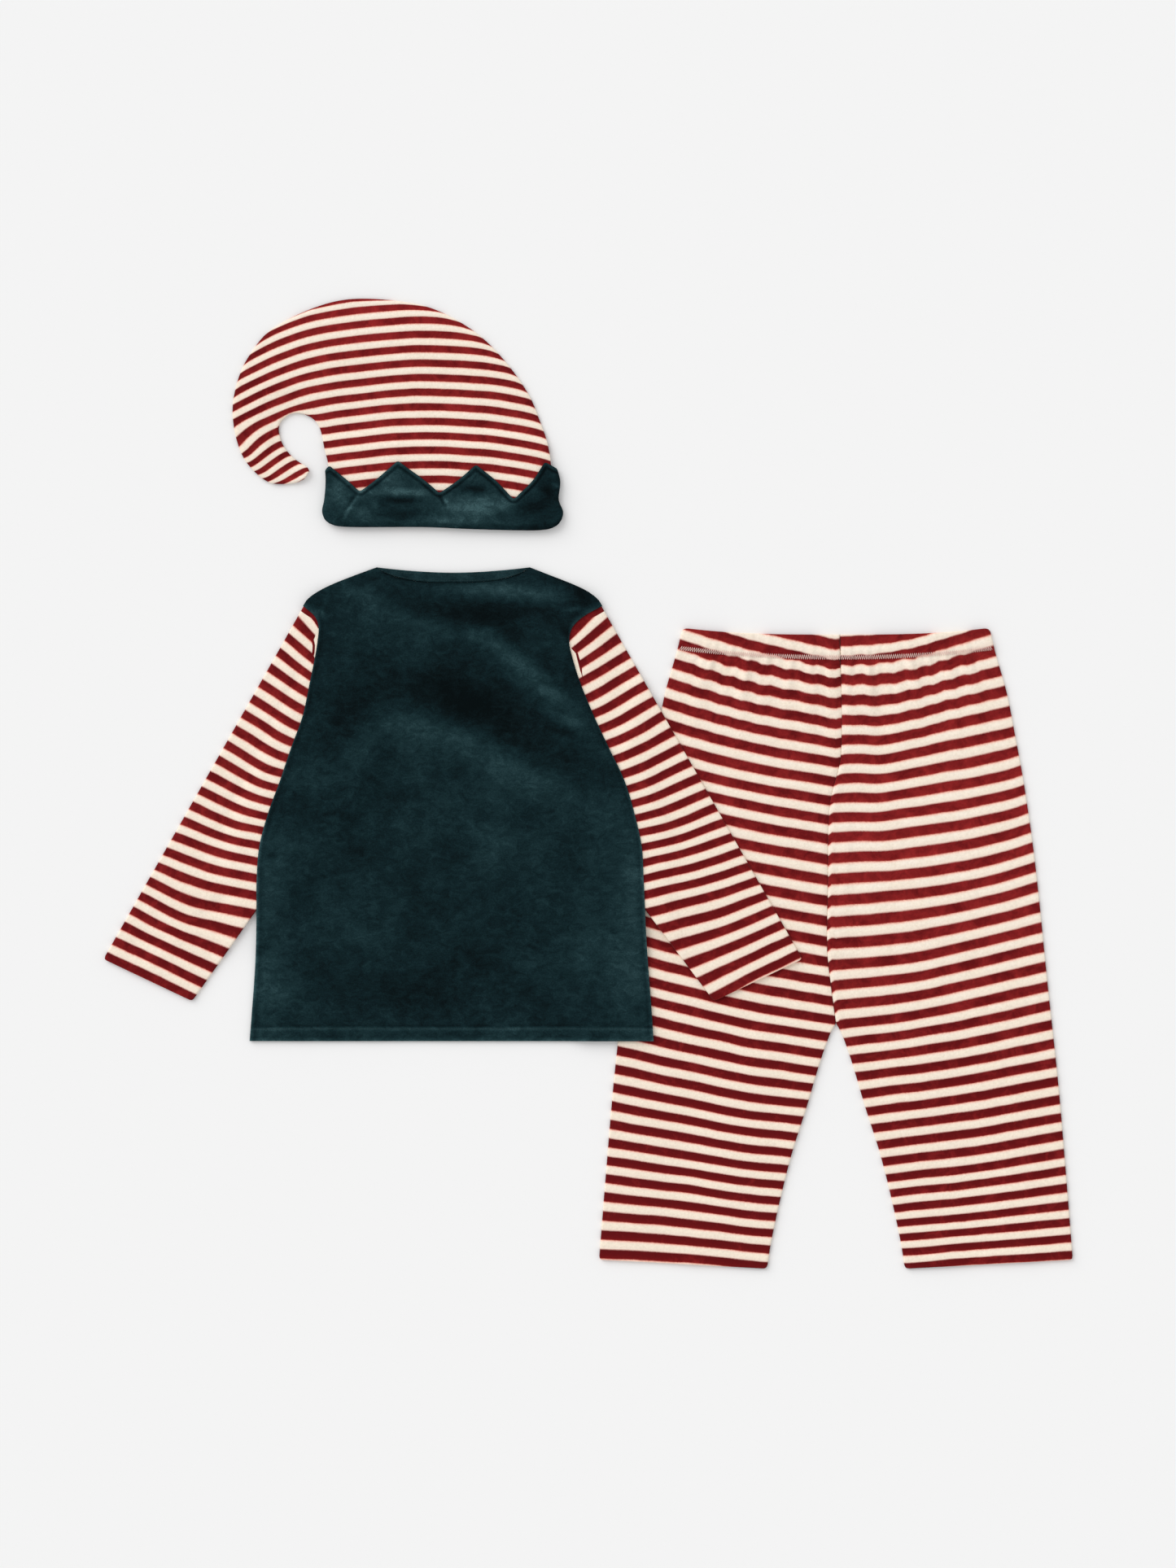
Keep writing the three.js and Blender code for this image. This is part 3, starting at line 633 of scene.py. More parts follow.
def cloth_material(name, sheen, sheen_tint, sheen_roughness):
    """A material with its principled shader, ready for a colour and a bump."""
    material = bpy.data.materials.new(name)
    material.use_nodes = True
    tree = material.node_tree
    shader = tree.nodes["Principled BSDF"]
    shader.inputs["Roughness"].default_value = CLOTH_ROUGHNESS
    shader.inputs["Specular IOR Level"].default_value = CLOTH_SPECULAR
    shader.inputs["Sheen Weight"].default_value = sheen
    shader.inputs["Sheen Roughness"].default_value = sheen_roughness
    shader.inputs["Sheen Tint"].default_value = linear(sheen_tint)
    place = add_node(tree, "ShaderNodeTexCoord").outputs["Object"]
    return material, tree, shader, place


def bump(tree, height, distance, strength, normal=None):
    made = add_node(tree, "ShaderNodeBump", Height=height, Distance=distance, Strength=strength)
    if normal:
        tree.links.new(normal, made.inputs["Normal"])
    return made.outputs["Normal"]


def striped_velour():
    """Soft pile. A red stripe is crisp along its upper edge, and its pile lies over the cream below."""
    material, tree, shader, place = cloth_material(
        "striped_velour", sheen=0.1, sheen_tint=(255, 228, 216), sheen_roughness=0.45,
    )
    fibres = noise(tree, place, scale=1500, detail=1.0)
    clumps = noise(tree, place, scale=430)
    ragged = calculate(tree, "ADD", centred(tree, clumps, 0.03), centred(tree, fibres, 0.05))
    number = calculate(tree, "ADD", read(tree, "stripe"), ragged)
    across = calculate(tree, "FRACT", calculate(tree, "ADD", number, 0.5))
    # Beside each armhole the cloth turns: it is cream past the crease, which has a red line. Both taper out
    past = calculate(tree, "MULTIPLY", read(tree, "past_crease"), CREASE_REACH)
    strength = read(tree, "crease")
    taper = calculate(tree, "MULTIPLY_ADD", strength, -TURNED_TAPER, TURNED_TAPER)
    across = blend(tree, calculate(tree, "GREATER_THAN", past, taper), across, CREAM_MIDDLE)
    line = calculate(tree, "MULTIPLY", strength, CREASE_LINE)
    within = calculate(tree, "SUBTRACT", line, calculate(tree, "ABSOLUTE", past))
    across = blend(tree, spread(tree, within, 0.05, 0.45), across, RED_MIDDLE)
    # One red stripe lies along the shoulder's seam
    across = blend(tree, spread(tree, read(tree, "seam_stripe"), 0.44, 0.56), across, RED_MIDDLE)
    # Painted shade and sheen: a darker and a lighter copy of the stripe colours, mixed by an attribute of
    # painted shade and sheen and by random patches
    shades = [
        ramp(
            tree, across, (0.0, cream), (0.2, (240, 223, 207)), (0.245, (204, 158, 146)), (0.29, top),
            (0.5, middle), (0.70, low), (0.738, edge), (0.78, (234, 170, 152)), (0.83, (250, 219, 202)),
            (0.9, cream), (1.0, cream),
        )
        for cream, top, middle, low, edge in STRIPE_SHADE_AND_SHEEN
    ]
    patches = noise(tree, place, scale=60, detail=5.0, roughness=0.7, distortion=0.6)
    sheen_mix = calculate(tree, "ADD", read(tree, "nap"), centred(tree, patches, 2.4))
    sheen_mix.node.use_clamp = True
    striped = mix_colours(tree, sheen_mix, shades[0], shades[1])
    specks = spread(tree, noise(tree, place, scale=620), 0.58, 0.78, to_high=0.3)
    heathered = mix_colours(tree, specks, striped, linear(CREAM_SHADE), "MULTIPLY")
    pile = spread(tree, clumps, 0.3, 0.7, to_low=0.94, to_high=1.05)
    brushed = add_node(tree, "ShaderNodeVectorMath", dict(operation="SCALE"), Vector=heathered, Scale=pile)
    tree.links.new(brushed.outputs["Vector"], shader.inputs["Base Color"])
    tufts = noise(tree, place, scale=330, detail=3.0, roughness=0.6)
    soft = bump(tree, tufts, distance=0.0009, strength=0.35)
    tree.links.new(bump(tree, fibres, distance=0.0004, strength=0.35, normal=soft), shader.inputs["Normal"])
    return material


def green_velvet():
    """Deep pile. Its shade is painted sheen and shade: an attribute, and clouds, streaks and grain of noise.
    """
    material, tree, shader, place = cloth_material(
        "green_velvet", sheen=0.05, sheen_tint=(110, 170, 176), sheen_roughness=0.3,
    )
    shader.inputs["Specular IOR Level"].default_value = VELVET_SPECULAR
    clouds = noise(tree, place, scale=26, detail=4.0, roughness=0.6, distortion=0.5)
    streaks = noise(
        tree, place, scale=130, detail=5.0, roughness=0.66, stretch=(0.66, 1.0, 1.0), distortion=0.8,
    )
    grain = noise(tree, place, scale=700)
    shade = read(tree, "nap")
    for part, amount in ((clouds, 0.45), (streaks, 0.75), (grain, 0.4)):
        shade = calculate(tree, "ADD", shade, centred(tree, part, amount))
    tree.links.new(ramp(tree, shade, *VELVET_SHADES), shader.inputs["Base Color"])
    soft = bump(tree, streaks, distance=0.0012, strength=0.3)
    tree.links.new(bump(tree, grain, distance=0.0005, strength=0.4, normal=soft), shader.inputs["Normal"])
    return material


def thread(name, colour):
    """Twisted sewing thread."""
    material, tree, shader, place = cloth_material(
        name, sheen=0.1, sheen_tint=(255, 255, 255), sheen_roughness=0.5,
    )
    twist = noise(tree, place, scale=2400, detail=1.0)
    dark = tuple(THREAD_DARK * c for c in colour)
    tree.links.new(ramp(tree, twist, (0.3, dark), (0.7, colour)), shader.inputs["Base Color"])
    tree.links.new(bump(tree, twist, distance=0.0001, strength=0.1), shader.inputs["Normal"])
    return material


VELOUR = striped_velour()
VELVET = green_velvet()
PINK_THREAD = thread("pink_thread", THREAD_PINK)
GREEN_THREAD = thread("green_thread", THREAD_GREEN)


# Thread
def tube_along(points, radius, sides=5):
    """Points and faces of a thin round thread along a line of points, closed at both ends."""
    points = np.array(points, float)
    ahead = np.gradient(points, axis=0)
    ahead /= np.linalg.norm(ahead, axis=1, keepdims=True)
    side = np.cross(ahead, [0.0, 0.0, 1.0])
    side /= np.maximum(np.linalg.norm(side, axis=1, keepdims=True), 1e-9)
    up = np.cross(side, ahead)
    turn = np.arange(sides) * 2 * np.pi / sides
    ring = side[:, None] * np.cos(turn)[None, :, None] + up[:, None] * np.sin(turn)[None, :, None]
    grid = np.arange(len(points) * sides).reshape(len(points), sides)
    following = np.roll(grid, -1, axis=1)
    quads = np.stack([grid[:-1], following[:-1], following[1:], grid[1:]], -1).reshape(-1, 4)
    caps = np.array([grid[0][::-1], grid[-1]])
    made = (points[:, None] + ring * radius).reshape(-1, 3)
    if signed_volume(made, quads) < 0:
        quads, caps = quads[:, ::-1], caps[:, ::-1]
    return made, quads, caps


def threads(name, lines, radius, origin, material):
    """One piece made of many threads."""
    points, quads, caps, count = [], [], [], 0
    for line in lines:
        made, sides, ends = tube_along(line, radius)
        points.append(made)
        quads.append(sides + count)
        caps.append(ends + count)
        count += len(made)
    points = np.concatenate(points) + np.array([*origin, 0.0])
    piece = new_object(name, points, [np.concatenate(quads), np.concatenate(caps)], material)
    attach(piece, "root")


def running_stitches(path, pitch, length, rise):
    """Short stitches along a path of points, each dipping into the cloth at both ends."""
    path = np.array(path, float)
    run = run_along(path)
    lines = []
    for start in np.arange(pitch / 2, run[-1] - length, pitch):
        at = start + length * STITCH_SHAPE["at"]
        line = np.stack([np.interp(at, run, path[:, i]) for i in range(3)], -1)
        line[:, 2] += rise * STITCH_SHAPE["height"]
        lines.append(line)
    return lines


def finish_cloth(piece):
    node, slot, flat, area, rests_on = SHEETS[piece.name]
    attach(piece, "root")
    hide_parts(node)


# Trousers
centre_seam = through(CENTRE_SEAM, "down", "right")
inseam = through(INSEAM, "down", "half")
side_fold = through(SIDE_FOLD, "down", "half")
leg_row = {key: through(LEG_ROWS, "inner", key) for key in ("side", "bow", "cloth", "gather")}

# Soft folds of each leg: rise, width, and a line of points, all measured from the middle of the waist
LEG_FOLDS = {
    "left": (
        (0.9, 9, (-30, -30), (-34, -110)), (-0.8, 8, (-52, -32), (-60, -125)),
        (0.7, 10, (-84, -28), (-98, -120)), (-0.7, 9, (-112, -26), (-128, -100)),
        (-0.6, 10, (-20, -150), (-24, -330)), (0.6, 16, (-60, -180), (-90, -380)),
        (-0.7, 20, (-130, -430), (-185, -640)), (0.7, 22, (-90, -470), (-130, -640)),
        (-0.5, 12, (-40, -420), (-62, -520)), (0.5, 18, (-200, -480), (-215, -640)),
        (-1.3, 3.5, (-22, -27), (-28, -60)), (1.1, 4, (-45, -27), (-52, -72)),
        (-1.3, 4, (-68, -25), (-80, -66)), (1.2, 4, (-88, -23), (-100, -70)),
        (-1.2, 4, (-104, -22), (-118, -54)), (1.0, 4, (-124, -20), (-138, -48)),
    ),
    "right": (
        (0.8, 9, (24, -32), (26, -120)), (-0.9, 8, (44, -30), (48, -130)), (0.8, 9, (66, -28), (76, -110)),
        (-0.7, 9, (98, -28), (112, -115)), (0.5, 10, (124, -24), (140, -90)),
        (-0.6, 10, (20, -170), (18, -360)), (0.6, 16, (70, -170), (110, -400)),
        (-0.6, 20, (120, -400), (150, -640)), (0.6, 20, (180, -450), (200, -640)),
        (0.5, 14, (60, -440), (96, -600)), (-1.2, 3.5, (16, -28), (17, -64)),
        (1.1, 4, (34, -28), (38, -80)), (-1.3, 4, (54, -27), (62, -76)), (1.1, 4, (76, -25), (88, -64)),
        (-1.2, 4, (90, -24), (102, -60)), (1.0, 4, (112, -22), (124, -50)), (0.7, 5, (13, -180), (8, -300)),
    ),
}
# How far the stripes dip over the folds: millimetres, width, and a line of points
STRIPE_DIPS = {
    "left": ((-1.2, 20, (-190, -60), (-200, -140)),),
    "right": (
        (2.6, 19, (44, -15), (46, -230)), (-1.4, 18, (112, -5), (114, -190)),
        (1.6, 20, (179, -40), (181, -230)),
    ),
}


def leg(name):
    """A flat tube below the crotch, open along the centre seam above it. Returns the zigzag of its waist."""
    side = -1 if name == "left" else 1
    down = LEG_LENGTH * stations(LEG_LENGTH)
    first_ring = int(np.searchsorted(down, CROTCH))
    is_slit = np.arange(len(down)) < first_ring
    rows = {key: curve(down) for key, curve in leg_row.items()}
    middle_x = centre_seam(np.minimum(down, CROTCH)) + side * TOUCHING / 2
    seam_x = np.where(is_slit, middle_x, side * inseam(down))
    hem_corner = corner_cut(LEG_LENGTH - down, HEM_CORNER)
    seam_x += side * hem_corner
    fold_x = side * (side_fold(rows["side"]) - corner_cut(down, WAIST_CORNER) - hem_corner)

    def place(share):
        return mix(seam_x, fold_x, share), -mix(down, rows["side"], np.clip(share, 0, 1) ** rows["bow"])

    cloth = np.clip(rows["cloth"], CLOTH, CASING_CLOTH)
    outer, inner, share, is_upper = flat_tube(place, cloth, LEG_COLUMNS, is_slit=is_slit)
    x, y = outer[..., 0], outer[..., 1]
    depth = down[:, None] + 0 * x
    from_seam, by_seam = np.abs(x - seam_x[:, None]), is_slit[:, None]

    # The gathers are uneven, and die out towards the side fold
    turns = GATHERS_PER_LEG * share + GATHER_DRIFT * np.sin(11 * share)
    height = 1 - GATHER_VARIATION * (1 - np.sin(17 * share + side))
    wave = (0.5 - 0.5 * np.cos(2 * np.pi * turns)) * height
    calm = smooth(1 - share, 0.04, 0.18)
    gathers = GATHER_HEIGHT * np.clip(rows["gather"], 0, 1)[:, None] * wave * calm
    small = 0.45 * np.sin(2 * np.pi * (2.1 * GATHERS_PER_LEG * share + 0.3 * np.sin(9 * share)))
    near_seam = bell(depth - WAIST_SEAM - 8, 14) + 0.35 * smooth(WAIST_SEAM - depth, -2, 8)
    stitched = -0.5 * bell(depth - WAIST_SEAM, 3.0)
    folds = strokes(LEG_FOLDS[name], x, y)
    uneven = mottles(x, y, (0.35, 38, 11 + side), (0.16, 15, 21 + side))
    seam_roll = 0.45 * bell(from_seam - 5, 3.2) * by_seam
    groove = -0.4 * bell(from_seam, 1.6) * by_seam
    hem_fold = turned_hem(LEG_LENGTH - depth, LEG_HEM, step=0.35, groove=0.4)
    soft = (small * near_seam + stitched + uneven + folds) * calm
    rise = (gathers + soft + seam_roll + groove + hem_fold) * is_upper
    outer[..., 2] += rise
    inner[..., 2] += rise

    ends = rounded(np.minimum(down, LEG_LENGTH - down)[:, None] + 0 * x)
    edge = np.where(by_seam, rounded(from_seam, 0.2), 1)
    rim = np.minimum(ends, edge)
    rim[[0, -1]] = 0
    rim[:first_ring, [0, -1]] = 0

    # The stripes follow the gathers a little, and hook down at the right of the centre seam
    drag = 0.9 * np.sin(2 * np.pi * turns + 0.8) + 0.2 * np.sin(5.2 * np.pi * turns)
    drag = drag * np.clip(rows["gather"], 0, 1)[:, None] * calm
    drift = mottles(x, y, (0.5, 30, 31 + side), (0.2, 11, 41 + side)) - strokes(STRIPE_DIPS[name], x, y)
    number = stripe_number(LEG_STRIPES[name], STRIPES_FROM_CENTRE[name], np.abs(x), -y + drag + drift)
    if side > 0:
        hook = bell(from_seam, 2.6) * smooth(depth, 90, 200) * by_seam
        number -= 0.16 * hook
    # Painted shade and sheen: the stripes darken towards the hems and lighten in a patch on the upper legs,
    # and on the left leg they darken beside the centre seam and all over
    nap = 0.42 - 0.4 * smooth(-y, 250, 520) + 0.12 * bell(-y - 230, 60) * bell(x - 30, 60)
    if side < 0:
        nap -= 0.3 * bell(from_seam, 14) * smooth(depth, 60, 140)
        nap -= 0.15
    nap += 0.08 * mottle(x, y, 24, 51)
    piece = shell(f"{name}_leg", outer, inner, rim, TROUSERS_AT, VELOUR, first_ring, stripe=number, nap=nap)
    finish_cloth(piece)

    # The thread turns between two rails, on both sides of the flat seam under the waist
    rails = []
    for depth_of_rail in (WAIST_SEAM - STITCH_REACH, WAIST_SEAM + STITCH_REACH):
        row = np.interp(depth_of_rail, down, np.arange(len(down)))
        columns = np.linspace(0.4, len(INNER_FOLD) + LEG_COLUMNS[0] - 1, 200)
        rails.append(np.array([on_grid(outer, row, column) for column in columns]))
    run = run_along(rails[0])
    turns = []
    for i, at in enumerate(np.arange(0, run[-1], STITCH_PITCH)):
        turns.append([np.interp(at, run, rails[i % 2][:, axis]) for axis in range(3)])
    turns = np.array(turns) + np.array([0, 0, ZIGZAG_RISE])
    between = STITCH_SHAPE["at"][:-1][None, :, None]
    return mix(turns[:-1, None], turns[1:, None], between).reshape(-1, 3)


def make_trousers():
    zigzags = [leg(name) for name in ("left", "right")]
    threads("waist_seam_thread", zigzags, ZIGZAG_RADIUS, TROUSERS_AT, PINK_THREAD)


# Tunic
left_side = through(TUNIC_SIDES, "up", "left")
right_side = through(TUNIC_SIDES, "up", "right")
BODY_HEIGHT = TUNIC_SIDES["up"][-1]
body_outline = [
    *zip(-TUNIC_SIDES["left"], TUNIC_SIDES["up"]), *zip(TUNIC_SIDES["right"][::-1], TUNIC_SIDES["up"][::-1]),
]
sleeve_outlines = [[*s["end"], s["cuff_inner"], s["cuff_outer"]] for s in SLEEVES.values()]
trousers_outline = [
    (x + TROUSERS_AT[0] - TUNIC_AT[0], y + TROUSERS_AT[1] - TUNIC_AT[1])
    for x, y in [
        *zip(-SIDE_FOLD["half"], -SIDE_FOLD["down"]),
        *zip(-INSEAM["half"][::-1], -INSEAM["down"][::-1]),
        (0, 0),
    ]
]
OVER_FRONT = CLOTH + SEAM
# Where the binding's two rows of stitches lie, from its seam at 0 to the neck's edge at 1
BINDING_STITCHES = (0.3, 0.62)
VELVET_THREAD_RADIUS = 0.2


def over_trousers(layer):
    return lift_over(trousers_outline, TUBE_HEIGHT, DRAPE_MARGIN + LAYER_MARGIN * layer)


# The largest soft ridges in the tunic's back, then smaller ones: rise, width, and a line of points
BACK_FOLDS = (
    (1.3, 17, (-72, 438), (-20, 427), (32, 416)), (1.6, 18, (32, 416), (84, 376), (132, 324)),
    (1.0, 24, (-150, 262), (-104, 284), (-66, 334), (-40, 330)),
    (1.0, 24, (-40, 330), (38, 296), (100, 258)), (-1.1, 14, (-56, 454), (38, 434), (95, 386)),
    (-0.9, 20, (-19, 350), (68, 309), (135, 282)), (-0.8, 18, (-134, 306), (-83, 350)),
    (0.7, 5, (104, 330), (136, 318)), (-0.6, 4, (100, 322), (136, 309)),
    (0.6, 5, (-143, 444), (-134, 442), (-131, 434)), (0.5, 4, (-139, 446), (-133, 430)),
    (0.7, 5, (114, 442), (136, 446)), (-0.6, 4, (113, 434), (121, 412)), (0.5, 9, (-60, 470), (-110, 450)),
    (-0.5, 24, (-180, 190), (-120, 120)), (0.5, 26, (-60, 180), (40, 120)),
    (-0.5, 22, (90, 190), (150, 90)), (0.45, 20, (-150, 60), (-60, 40)), (0.45, 24, (60, 60), (170, 40)),
)
# How strongly the strokes of painted sheen and shade count
PAINTED_SHEEN_DEPTH = 1.4
# Painted sheen and shade of the back, where its nap and folds catch or lose the light: shade, width, and a
# line of points
BACK_PAINTED_SHEEN = (
    (0.20, 11, (-73, 440), (-43, 433), (-2, 425), (38, 417), (71, 386), (95, 363), (115, 346), (135, 323)),
    (-0.22, 12, (-56, 454), (-16, 440), (38, 433), (68, 417), (95, 386)),
    (0.26, 9, (-12, 469), (51, 464), (124, 457)), (-0.2, 11, (16, 447), (60, 443), (116, 436)),
    (0.13, 13, (-113, 467), (-71, 449)), (-0.26, 26, (-70, 378), (0, 360), (80, 340)),
    (-0.18, 20, (-19, 349), (31, 336), (68, 309), (95, 289), (135, 282)),
    (0.17, 17, (-150, 262), (-107, 282), (-70, 330), (-29, 322), (38, 296), (85, 269), (122, 250)),
    (-0.18, 22, (-134, 306), (-83, 349)), (-0.16, 14, (104, 392), (130, 350)),
    (0.10, 6, (88, 362), (112, 356), (132, 350)), (-0.14, 4, (98, 324), (137, 310)),
    (-0.2, 12, (112, 452), (146, 450)), (-0.14, 7, (92, 482), (125, 469), (149, 452)),
    (0.13, 30, (-196, 230), (-196, 30)), (0.20, 26, (192, 230), (190, 20)),
    (-0.12, 30, (-108, 210), (-84, 178)), (0.08, 34, (-120, 110), (-70, 116)),
    (-0.10, 40, (10, 130), (60, 90)), (0.10, 30, (130, 120), (160, 80)), (0.12, 22, (-190, 60), (-150, 40)),
    (-0.10, 34, (-90, 60), (20, 40)), (0.14, 26, (60, 268), (110, 262)),
    (-0.22, 4, (-192, 192), (-180, 190)), (-0.20, 4, (-196, 97), (-186, 95)),
    (0.10, 24, (20, 220), (60, 190)), (0.32, 3, (-143, 444), (-134, 442), (-131, 434)),
    (0.3, 3, (113, 442), (134, 446)), (-0.2, 4, (113, 430), (120, 414)),
    (0.13, 6, (98, 338), (120, 330), (138, 324)),
)


def neck_curve(seam, count=60):
    share = np.linspace(0, 1, count + 1)
    swing = np.abs(2 * share - 1) ** seam["square"]
    return mix(-seam["left"], seam["right"], share), mix(seam["middle"], seam["end"], swing)


def top_edge(seam):
    """The top edge of a panel as a function of x: the left shoulder, the neck's seam, the right shoulder."""
    neck_x, neck_y = neck_curve(seam)
    number = np.arange(len(SHOULDERS["up"]), dtype=float)
    at = np.linspace(0, number[-1], 41)
    left, right, up = (through(dict(SHOULDERS, number=number), "number", key)(at) for key in SHOULDERS)
    x = np.concatenate([-left, neck_x, right[::-1]])
    y = np.concatenate([up, neck_y, up[::-1]])
    return x, y


def body_panel(name, seam, under, folds, nap, step):
    """A panel on what lies under it, from its hem up to its shoulders and neck. Returns its hem's seam."""
    top_x, top_y = top_edge(seam)
    width = top_x[-1] - top_x[0]
    corners = (np.array([-SHOULDERS["left"][-1], SHOULDERS["right"][-1]]) - top_x[0]) / width
    u = np.unique(np.concatenate([stations(width, step * width / PANEL_ACROSS), corners]))
    v = stations(BODY_HEIGHT, step)
    share, along = np.meshgrid(u, mix(-HEM_PILE / BODY_HEIGHT, 1, v))
    edge_x = top_x[0] + share * width
    edge_y = np.interp(edge_x, top_x, top_y)
    up = along * BODY_HEIGHT
    # Nearer the top, only the outermost columns follow the sides
    pull = 1 + 7 * np.maximum(along, 0) ** 4
    left = (left_side(up) - TUNIC_SIDES["left"][-1]) * (1 - share) ** pull
    right = (right_side(up) - TUNIC_SIDES["right"][-1]) * share**pull
    x, y = edge_x - left + right, up + (edge_y - BODY_HEIGHT) * along
    span = (x[:, -1] - x[:, 0])[:, None]
    beside = np.minimum(share, 1 - share) * span
    above, below = (1 - along) * edge_y, along * edge_y + HEM_PILE
    hem_fold = turned_hem(below, TUNIC_HEM, step=0.45, groove=0.5, soft=2.0, width=1.2)
    seam_roll = 0.5 * bell(beside - 3.5, 2.4)
    low = under(x, y) + folds(x, y) * smooth(beside, 0, 30) + seam_roll + 0.4 * bell(above - 3, 2)
    low = np.maximum(low, -0.5 * hem_fold)
    inner = np.stack([x, y, low + 0.5 * hem_fold], -1)
    outer = np.stack([x, y, low + hem_fold + CLOTH], -1)
    rim = sealed(rounded(np.minimum(np.minimum(beside, above), below), PANEL_ROUND))
    # Painted highlights where the pile turns down at the sides and the hem, along the hem's seam and over
    # the turned hem, and painted shade just inside the sides, above the hem's seam and along the neck's seam
    shade = nap(x, y) + 0.28 * bell(beside, 2) + 0.3 * bell(below, 2)
    shade += 0.3 * bell(below - TUNIC_HEM, 1.3) + 0.06 * smooth(TUNIC_HEM - below, 0, 2)
    shade -= 0.12 * bell(beside - 4.5, 2.5) + 0.1 * bell(below - TUNIC_HEM - 3, 2)
    shade -= 0.25 * bell(above, 1.6) * (np.abs(x) < seam["left"])
    piece = shell(name, outer, inner, rim, TUNIC_AT, VELVET, nap=shade)
    finish_cloth(piece)
    row = np.interp(TUNIC_HEM / edge_y.mean(), v, np.arange(len(v)))
    return [on_grid(outer, row, c) for c in np.linspace(1, len(u) - 2, 300)]


def neck_binding(name, seam, edge, under, cloth):
    """Half of the folded binding, from its seam to the neck's edge. Returns the lines of its stitches."""
    share = stations(2 * seam["left"], step=1.6)
    count = 400
    (seam_x, seam_y), (edge_x, edge_y) = neck_curve(seam, count), neck_curve(edge, count)
    seam_x, seam_y = seam_x * (1 - TOUCHING / seam["left"]), seam_y + TOUCHING
    at = np.linspace(0, 1, count + 1)
    height = abs(edge["middle"] - seam["middle"])
    v = stations(height, step=1.1, edge=1.0)
    x = mix(np.interp(share, at, seam_x)[None], np.interp(share, at, edge_x)[None], v[:, None])
    y = mix(np.interp(share, at, seam_y)[None], np.interp(share, at, edge_y)[None], v[:, None])
    inward = np.minimum(v, 1 - v)[:, None] * height + 0 * x
    sideways = np.minimum(share, 1 - share)[None] * 2 * seam["left"] + 0 * x
    swell = 0.35 * np.sin(np.pi * v)[:, None]
    inner = np.stack([x, y, under(x, y)], -1)
    outer = np.stack([x, y, under(x, y) + cloth + swell], -1)
    rim = sealed(rounded(np.minimum(inward, sideways), BINDING_ROUND))
    # Painted highlight along the binding's folded edge at the neck, with random tone
    shade = 0.56 + 0.1 * mottle(x, y, 12, 61) + 0.25 * bell(inward, 0.9) * (v[:, None] > 0.5)
    piece = shell(name, outer, inner, rim, TUNIC_AT, VELVET, nap=shade)
    finish_cloth(piece)
    columns = np.linspace(2, len(share) - 3, 160)
    return [[on_grid(outer, row * (len(v) - 1), column) for column in columns] for row in BINDING_STITCHES]


# Folds of the sleeves: rise, width, and a line of points from the shoulder and from the side fold
SLEEVE_FOLDS = {
    "left": (
        (-1.2, 6, (28, 22), (70, 30), (150, 34)), (0.6, 7, (40, 12), (150, 20)),
        (-1.1, 7, (150, 34), (250, 42)), (1.0, 10, (255, 62), (330, 66)), (-1.1, 7, (290, 84), (345, 60)),
        (0.7, 9, (345, 60), (410, 44)), (-0.5, 9, (350, 24), (410, 20)),
    ),
    "right": (
        (-1.0, 6, (30, 26), (110, 32)), (0.7, 8, (60, 14), (180, 22)), (-0.9, 8, (180, 38), (270, 50)),
        (1.0, 10, (270, 66), (330, 70)), (-1.1, 7, (300, 86), (360, 62)), (0.6, 9, (350, 50), (412, 40)),
    ),
}
# The crease beside each armhole, past which the cloth turns
ARMHOLE_CREASES = {
    "left": table("up x", (423, -145), (413, -143), (407, -141.9), (400, -142.3), (386, -144.5)),
    "right": table("up x", (409, 126), (403, 127.9), (396, 130), (386, 132.6), (372, 135.5)),
}
# The red stripe that is sewn to the shoulder: its width above wide_from, and below it down to its end
SHOULDER_STRIPES = {
    "left": dict(width=5.4, wide_from=436, narrow=0.6, end=424),
    "right": dict(width=5.6, wide_from=430, narrow=0.6, end=411),
}


